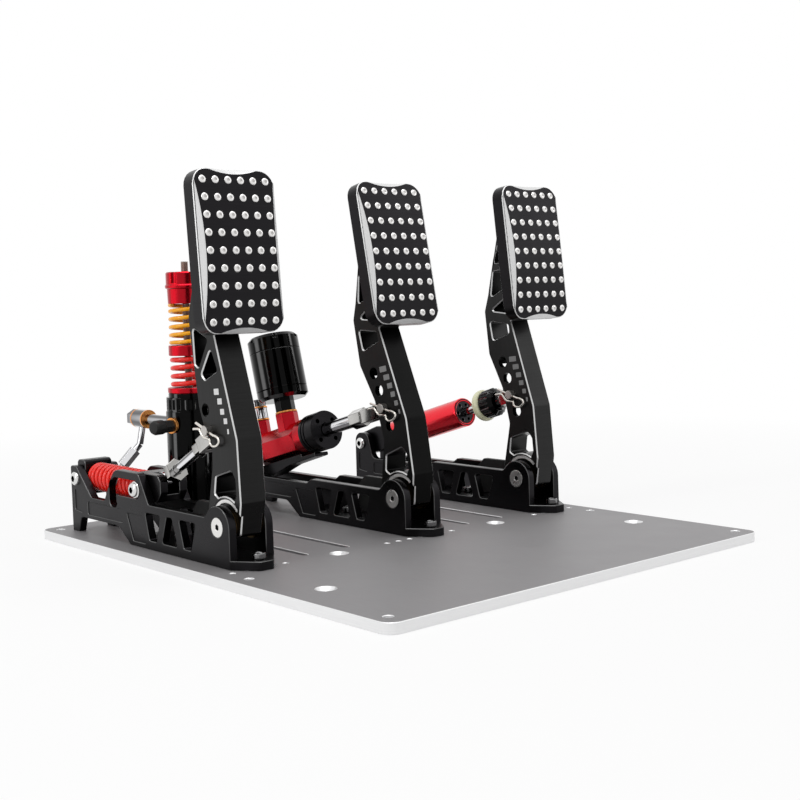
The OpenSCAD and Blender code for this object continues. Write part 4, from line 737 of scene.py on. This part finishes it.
# Clutch spring
# A compression spring over the guide rod, between the carriage and the rear block. It is wound from
# round steel wire, its closed ends are ground flat, and it is painted gloss red.
wire_sides, steps_per_turn = 12, 28
seat_share = 0.3     # of the wire, from its middle to the ground end


def spring_paint(name, tones):
    """A gloss paint with the faint ripple of a dipped coat."""
    return worked_finish(name, tones, rough=(0.2, 0.32), grain=(0.8, 0.8, 0.8), relief=0.012, metal=0,
                         specular=0.4, coat=0.25)


def wound_spring(node, finish, base, along, length, diameter, wire, turns, closed, body):
    """A round wire wound up from its base, in mm: closed turns, open turns and closed turns, with both ends
    ground. It rides the body that it is seated on at its base or its top."""
    bm = bmesh.new()
    first = Matrix.Translation(((diameter - wire)/2*mm, 0, seat_share*wire*mm))
    ring = bmesh.ops.create_circle(bm, segments=wire_sides, radius=wire/2*mm,
                                   matrix=first @ Matrix.Rotation(pi/2, 4, "X"))["verts"]
    sweep = ring + list({edge for vert in ring for edge in vert.link_edges})
    open_rise = length - 2*seat_share*wire - 2*closed*wire
    for part, rise in ((closed, closed*wire), (turns - 2*closed, open_rise), (closed, closed*wire)):
        steps = round(steps_per_turn*part)
        sweep = bmesh.ops.spin(bm, geom=sweep, cent=(0, 0, 0), axis=(0, 0, 1), dvec=(0, 0, rise*mm/steps),
                               angle=2*pi*part, steps=steps)["geom_last"]
    for height, way in ((0, -1), (length*mm, 1)):
        bmesh.ops.holes_fill(bm, edges=[edge for edge in bm.edges if edge.is_boundary])
        bmesh.ops.bisect_plane(bm, geom=bm.verts[:] + bm.edges[:] + bm.faces[:], plane_co=(0, 0, height),
                               plane_no=(0, 0, way), clear_outer=True)
    bmesh.ops.holes_fill(bm, edges=[edge for edge in bm.edges if edge.is_boundary])
    bmesh.ops.recalc_face_normals(bm, faces=bm.faces)
    turn = Vector((0, 0, 1)).rotation_difference(Vector(along)).to_matrix().to_4x4()
    bmesh.ops.transform(bm, matrix=Matrix.Translation(Vector(base)*mm) @ turn, verts=bm.verts)
    piece = made_piece(node + "_part", bm, (finish,), node, body=body)
    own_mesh(piece)
    return piece


spring_front = 112.05
red_paint = spring_paint("red_spring_paint", ((0.82, 0.01, 0.006), (0.96, 0.026, 0.014)))
wound_spring("clutch_spring", red_paint, base=(pedal_places["clutch"], spring_front, strut_heights["clutch"]),
             along=(0, 1, 0), length=84.4, diameter=25, wire=4, turns=13, closed=0.9, body="base")

# Brake rod and master cylinder
# A chromed rod enters a red anodised hexagon body through a black gland cap with spanner holes.
# The body swings on the rear bolts, and a black cradle is bolted under it.
# The red anodising carries painted reflection: darker at the middle and towards the rim of each curve,
# brighter between.
red_alloy = worked_finish("red_anodised", tones=((0.64, 0.004, 0.014), (0.82, 0.009, 0.028)),
                          rough=(0.2, 0.3), grain=(20, 0.4, 20), relief=0.005, metal=0.94, coat=0.06,
                          painted_reflection=((0, 0.5), (0.1, 0.5), (0.22, 1), (0.36, 1), (0.48, 0.55), (0.8, 0.55)))
machined("brake_rod", (chrome,), cut=0.4, steps=2)
machined("master_body", (red_alloy,), cut=0.5, steps=2)
machined("master_cap", (satin_black,), cut=0.4, steps=2)
# The cradle's edges carry the painted highlight too.
machined("master_cradle", (satin_black, painted_edge_highlight), cut=0.5)

# Reservoir
# A gloss black can of turned aluminium with a fine groove, screwed on by its hexagon neck over a
# copper washer, and closed by a notched cap.
# The gloss black is near black with a painted highlight: a bright band part way from the middle of each curve
# towards its rim.
gloss_black = worked_finish("gloss_black", tones=((0.1, 0.1, 0.1), (0.15, 0.15, 0.15)), rough=(0.06, 0.12),
                            grain=(3, 3, 3), relief=0.003,
                            painted_reflection=((0, 0.05), (0.17, 0.05), (0.23, 1), (0.29, 1), (0.35, 0.05), (0.8, 0.08)))
copper = worked_finish("copper_washer", tones=((0.72, 0.28, 0.07), (0.9, 0.42, 0.13)), rough=(0.24, 0.4),
                       grain=(0.4, 0.4, 0.4))
machined("reservoir", (gloss_black,), cut=0.5, steps=3)
machined("reservoir_cap", (gloss_black,), cut=0.5, steps=3)
machined("master_washers", (copper,), cut=0.25, steps=2)

# Outlet fitting and brake hose
# A chromed banjo at the rear of the cylinder joins it to a rubber hose under a braided steel sleeve.
# The hose leaves the tower's fitting, drops to the plate, runs along it and rises over to the banjo.
machined("outlet_banjo", (chrome,), cut=0.4, steps=2)
hose_diameter, hose_sides, hose_bend = 6, 16, 27
hose_lead = 8                        # straight out of the tower's fitting
hose_tail, hose_end = 33, 24         # left of the outlet: where the last bend ends, and the hose
strut_lean = radians(15.036)
outlet_place, outlet_rise = 14, 34.8     # along the cylinder from the rear bolts, and above its axis
outlet_y = rear_y - outlet_place*cos(strut_lean) + outlet_rise*sin(strut_lean)
outlet_z = strut_heights["brake"] + outlet_place*sin(strut_lean) + outlet_rise*cos(strut_lean)
fitting_middle = Vector((-110.3, 212, 77))
hose_start = Vector((-122.5, 215.5, 63))
hose_out = (hose_start - fitting_middle).normalized()
hose_first = hose_start + hose_lead*hose_out
drop_turn = atan2(hose_out.z, hose_out.x)
drop_x = hose_first.x - hose_bend*sin(drop_turn)
drop_z = hose_first.z + hose_bend*cos(drop_turn)
hose_low = drop_z - hose_bend
hose_back = hose_first.y - hose_out.y*hose_bend*drop_turn/2
rise_x = pedal_places["brake"] - hose_tail - hose_bend
run_end = rise_x - hose_bend


def hose_arc(x, z, first, last, steps):
    """Points along one bend of the hose, seen from the front."""
    turns = [first + (last - first)*k/steps for k in range(steps + 1)]
    return [(x + hose_bend*cos(turn), z + hose_bend*sin(turn)) for turn in turns]


drop_line = hose_arc(drop_x, drop_z, drop_turn - pi/2, -pi/2, steps=6)
rise_line = [
    *[(drop_x + (run_end - drop_x)*share, hose_low) for share in (1/3, 2/3)],
    *hose_arc(run_end, hose_low + hose_bend, -pi/2, 0, steps=4),
    (rise_x, (hose_low + outlet_z)/2),
    *hose_arc(rise_x + hose_bend, outlet_z - hose_bend, pi, pi/2, steps=4),
]
hose_points = [hose_start]
for k, (x, z) in enumerate(drop_line):
    share = k/(len(drop_line) - 1)
    hose_points.append(Vector((x, hose_first.y + (hose_back - hose_first.y)*share*(2 - share), z)))
for k, (x, z) in enumerate(rise_line, 1):
    share = k/len(rise_line)
    hose_points.append(Vector((x, hose_back + (outlet_y - hose_back)*share*share*(3 - 2*share), z)))
hose_points.append(Vector((pedal_places["brake"] - hose_end, outlet_y, outlet_z)))


def laid_route(points, steps):
    """A line that follows points with no sudden change of bend, as a stiff hose lies."""
    ends = [2*points[0] - points[1], *points, 2*points[-1] - points[-2]]
    route = []
    for a, b, c, d in zip(ends, ends[1:], ends[2:], ends[3:]):
        for t in (k/steps for k in range(steps)):
            rest = (3*t**3 - 6*t*t + 4)*b + (-3*t**3 + 3*t*t + 3*t + 1)*c
            route.append(((1 - t)**3*a + rest + t**3*d)/6)
    return route + [points[-1]]


hose_route = [point*mm for point in laid_route(hose_points, steps=4)]
bm = bmesh.new()
rings = round_wire(bm, hose_route, hose_diameter/2*mm, hose_sides)
laid = bm.loops.layers.uv.new("laid")
run, spots = 0.0, {}
for i, ring in enumerate(rings):
    run += (hose_route[i] - hose_route[i - 1]).length if i else 0
    for k, vert in enumerate(ring):
        spots[vert] = (k/hose_sides, run/(pi*hose_diameter*mm))
last_strip, first_strip = 0.9, 0.1     # of the way round, where the braid's map closes on itself
for face in bm.faces:
    closing = max(spots[vert][0] for vert in face.verts) > last_strip
    for loop in face.loops:
        around, distance = spots[loop.vert]
        loop[laid].uv = (around + 1 if closing and around < first_strip else around, distance)

strands_round = 9
wave_length = 0.31416     # of a Wave texture at a scale of 1
steel_braid = bpy.data.materials.new("steel_braid")
steel_braid.use_nodes = True
nodes, links = steel_braid.node_tree.nodes, steel_braid.node_tree.links
shader = nodes["Principled BSDF"]
shader.inputs["Metallic"].default_value = 1
strand_map = nodes.new("ShaderNodeUVMap")
strand_map.uv_map = "laid"
over = nodes.new("ShaderNodeMath")
over.operation = "MAXIMUM"
for i, lay in enumerate((45, -45)):
    slant = nodes.new("ShaderNodeMapping")
    slant.inputs["Rotation"].default_value = (0, 0, radians(lay))
    slant.inputs["Scale"].default_value = (strands_round*wave_length*sqrt(2),)*3
    links.new(strand_map.outputs[0], slant.inputs["Vector"])
    strand = nodes.new("ShaderNodeTexWave")
    strand.inputs["Scale"].default_value = 1
    links.new(slant.outputs[0], strand.inputs["Vector"])
    links.new(strand.outputs["Fac"], over.inputs[i])
tone = nodes.new("ShaderNodeMix")
tone.data_type = "RGBA"
tone.inputs[mix_first].default_value = (0.06, 0.06, 0.065, 1)
tone.inputs[mix_second].default_value = (0.66, 0.66, 0.68, 1)
links.new(over.outputs[0], tone.inputs["Factor"])
links.new(tone.outputs[mix_result], shader.inputs["Base Color"])
gloss = nodes.new("ShaderNodeMapRange")
gloss.inputs["To Min"].default_value = 0.6
gloss.inputs["To Max"].default_value = 0.26
links.new(over.outputs[0], gloss.inputs["Value"])
links.new(gloss.outputs[0], shader.inputs["Roughness"])
bump = nodes.new("ShaderNodeBump")
bump.inputs["Distance"].default_value = 0.3*mm
links.new(over.outputs[0], bump.inputs["Height"])
links.new(bump.outputs[0], shader.inputs["Normal"])

hose = made_piece("brake_hose_part", bm, (steel_braid,), "brake_hose")

# Brake tower body
# The slave cylinder stands on the plate: a gloss black turned body with a notched ring, its foot,
# a chromed port with a banjo and copper washers at the back, and a rubber-capped bleed screw.
machined("slave_body", (gloss_black,), cut=0.5, steps=2)
machined("slave_port", (chrome,), cut=0.4, steps=2)
machined("slave_washers", (copper,), cut=0.25, steps=2)
machined("bleed_cap", (moulded_black,), cut=0.5, steps=2)

# Tower springs and collars
# The red piston flange lifts a red spring, a red collar and a yellow spring against the top collar,
# which is screwed down a threaded steel rod. The collars are turned and anodised.
tower_x, tower_y = -106, 132
lower_seat, upper_seat, tower_spring = 132.02, 168.32, 31     # the two heights and the outer diameter
machined("slave_piston", (red_alloy,), cut=0.5, steps=3)
machined("middle_collar", (red_alloy,), cut=0.6, steps=3)
machined("top_collar", (red_alloy,), cut=0.4, steps=2)
yellow_paint = spring_paint("yellow_spring_paint", ((0.98, 0.38, 0.003), (1, 0.48, 0.006)))
wound_spring("lower_spring", red_paint, base=(tower_x, tower_y, lower_seat), along=(0, 0, 1), length=27.46,
             diameter=tower_spring, wire=4.2, turns=4, closed=0.6, body="slave_lift")
wound_spring("upper_spring", yellow_paint, base=(tower_x, tower_y, upper_seat), along=(0, 0, 1),
             length=35.66, diameter=tower_spring, wire=3.4, turns=5.5, closed=0.6, body="base")

# Tower rod
# A threaded rod of plain, slightly browned steel up the middle of the tower.
# Its thread is one ridge swept up the rod, cut off flat at the top.
rod_steel = worked_finish("browned_steel", tones=((0.3, 0.24, 0.21), (0.46, 0.39, 0.35)), rough=(0.26, 0.4),
                          grain=(1, 1, 0.4), relief=0.006)
rod_low, thread_low, rod_high = 22, 130, 239.8
rod_radius, pitch, thread_steps, thread_weld = 3.25, 1.0, 20, 0.01*mm
thread_root = rod_radius - 0.6*pitch
crest_low, crest_high = 0.42*pitch, 0.58*pitch
thread_turns = int((rod_high - thread_low)/pitch) + 2
bm = bmesh.new()
ridge = ((thread_root, 0), (rod_radius, crest_low), (rod_radius, crest_high), (thread_root, pitch))
line = [bm.verts.new((radius*mm, 0, (thread_low - pitch + height)*mm)) for radius, height in ridge]
edges = [bm.edges.new(pair) for pair in zip(line, line[1:])]
bmesh.ops.spin(bm, geom=line + edges, cent=(0, 0, 0), axis=(0, 0, 1), dvec=(0, 0, pitch*mm/thread_steps),
               angle=2*pi*thread_turns, steps=thread_steps*thread_turns)
bmesh.ops.remove_doubles(bm, verts=bm.verts, dist=thread_weld)
for height, way in ((thread_low, -1), (rod_high, 1)):
    bmesh.ops.bisect_plane(bm, geom=bm.verts[:] + bm.edges[:] + bm.faces[:], plane_co=(0, 0, height*mm),
                           plane_no=(0, 0, way), clear_outer=True)
bmesh.ops.holes_fill(bm, edges=[edge for edge in bm.edges if edge.is_boundary])
turned(bm, [(0, rod_low), (rod_radius, rod_low), (rod_radius, thread_low), (0, thread_low)], Matrix())
bmesh.ops.recalc_face_normals(bm, faces=bm.faces)
bmesh.ops.translate(bm, verts=bm.verts, vec=(tower_x*mm, tower_y*mm, 0))
made_piece("slave_rod_part", bm, (rod_steel,), "slave_rod")

# Throttle rod, bumper and knob
# A chromed rod slides into the red tube. A pale cast urethane ring on it stops against the tube,
# and a fluted black knob behind the fork sets the bumper's place.
urethane = worked_finish("pale_urethane", tones=((0.78, 0.78, 0.5), (0.88, 0.87, 0.64)), rough=(0.3, 0.45),
                         grain=(2, 2, 2), metal=0)
machined("throttle_rod", (chrome,), cut=0.4, steps=2)
machined("throttle_bumper", (urethane,), cut=1.0, steps=3, corner=30)
machined("throttle_knob", (gloss_black,), cut=0.3, steps=2)

# Throttle tube and trunnion
# A red anodised tube with a black front end, closed by a black insert with six small holes. Its rear end
# screws on the black trunnion block, which swings on the rear bolts. The bare return spring is inside.
strut_base = Vector((pedal_places["throttle"], rear_y, strut_heights["throttle"]))
strut_way = (pin_hole("throttle", 0)/mm - strut_base).normalized()
seat_reach = 44.1     # from the rear bolts to the foot of the return spring
# Painted reflection: the tube's red is darker towards the rim of each curve.
tube_red = worked_finish("red_anodised_tube", tones=((0.9, 0.008, 0.022), (1, 0.014, 0.036)),
                         rough=(0.18, 0.26), grain=(20, 0.4, 20), relief=0.003, metal=0.8, coat=0.3,
                         painted_reflection=((0, 0.95), (0.3, 1), (0.55, 0.95), (0.85, 0.7)))


def tube_surface(face):
    """Black on the front end."""
    return int(face.normal.dot(strut_way) > 0.9)


machined("throttle_tube", (tube_red, satin_black, tube_red), cut=0.9, steps=2, surface=tube_surface)
# The cap's and the trunnion's edges carry the painted highlight too.
machined("throttle_cap", (satin_black, painted_edge_highlight), cut=0.4)
machined("throttle_trunnion", (satin_black, painted_edge_highlight), cut=0.6)
spring_wire = worked_finish("bare_spring_wire", tones=((0.3, 0.3, 0.3), (0.46, 0.46, 0.46)),
                            rough=(0.26, 0.4), grain=(1, 1, 1))
wound_spring("throttle_spring", spring_wire, base=strut_base + strut_way*seat_reach, along=strut_way,
             length=50.8, diameter=24, wire=2.4, turns=8, closed=0.8, body="throttle_damper")
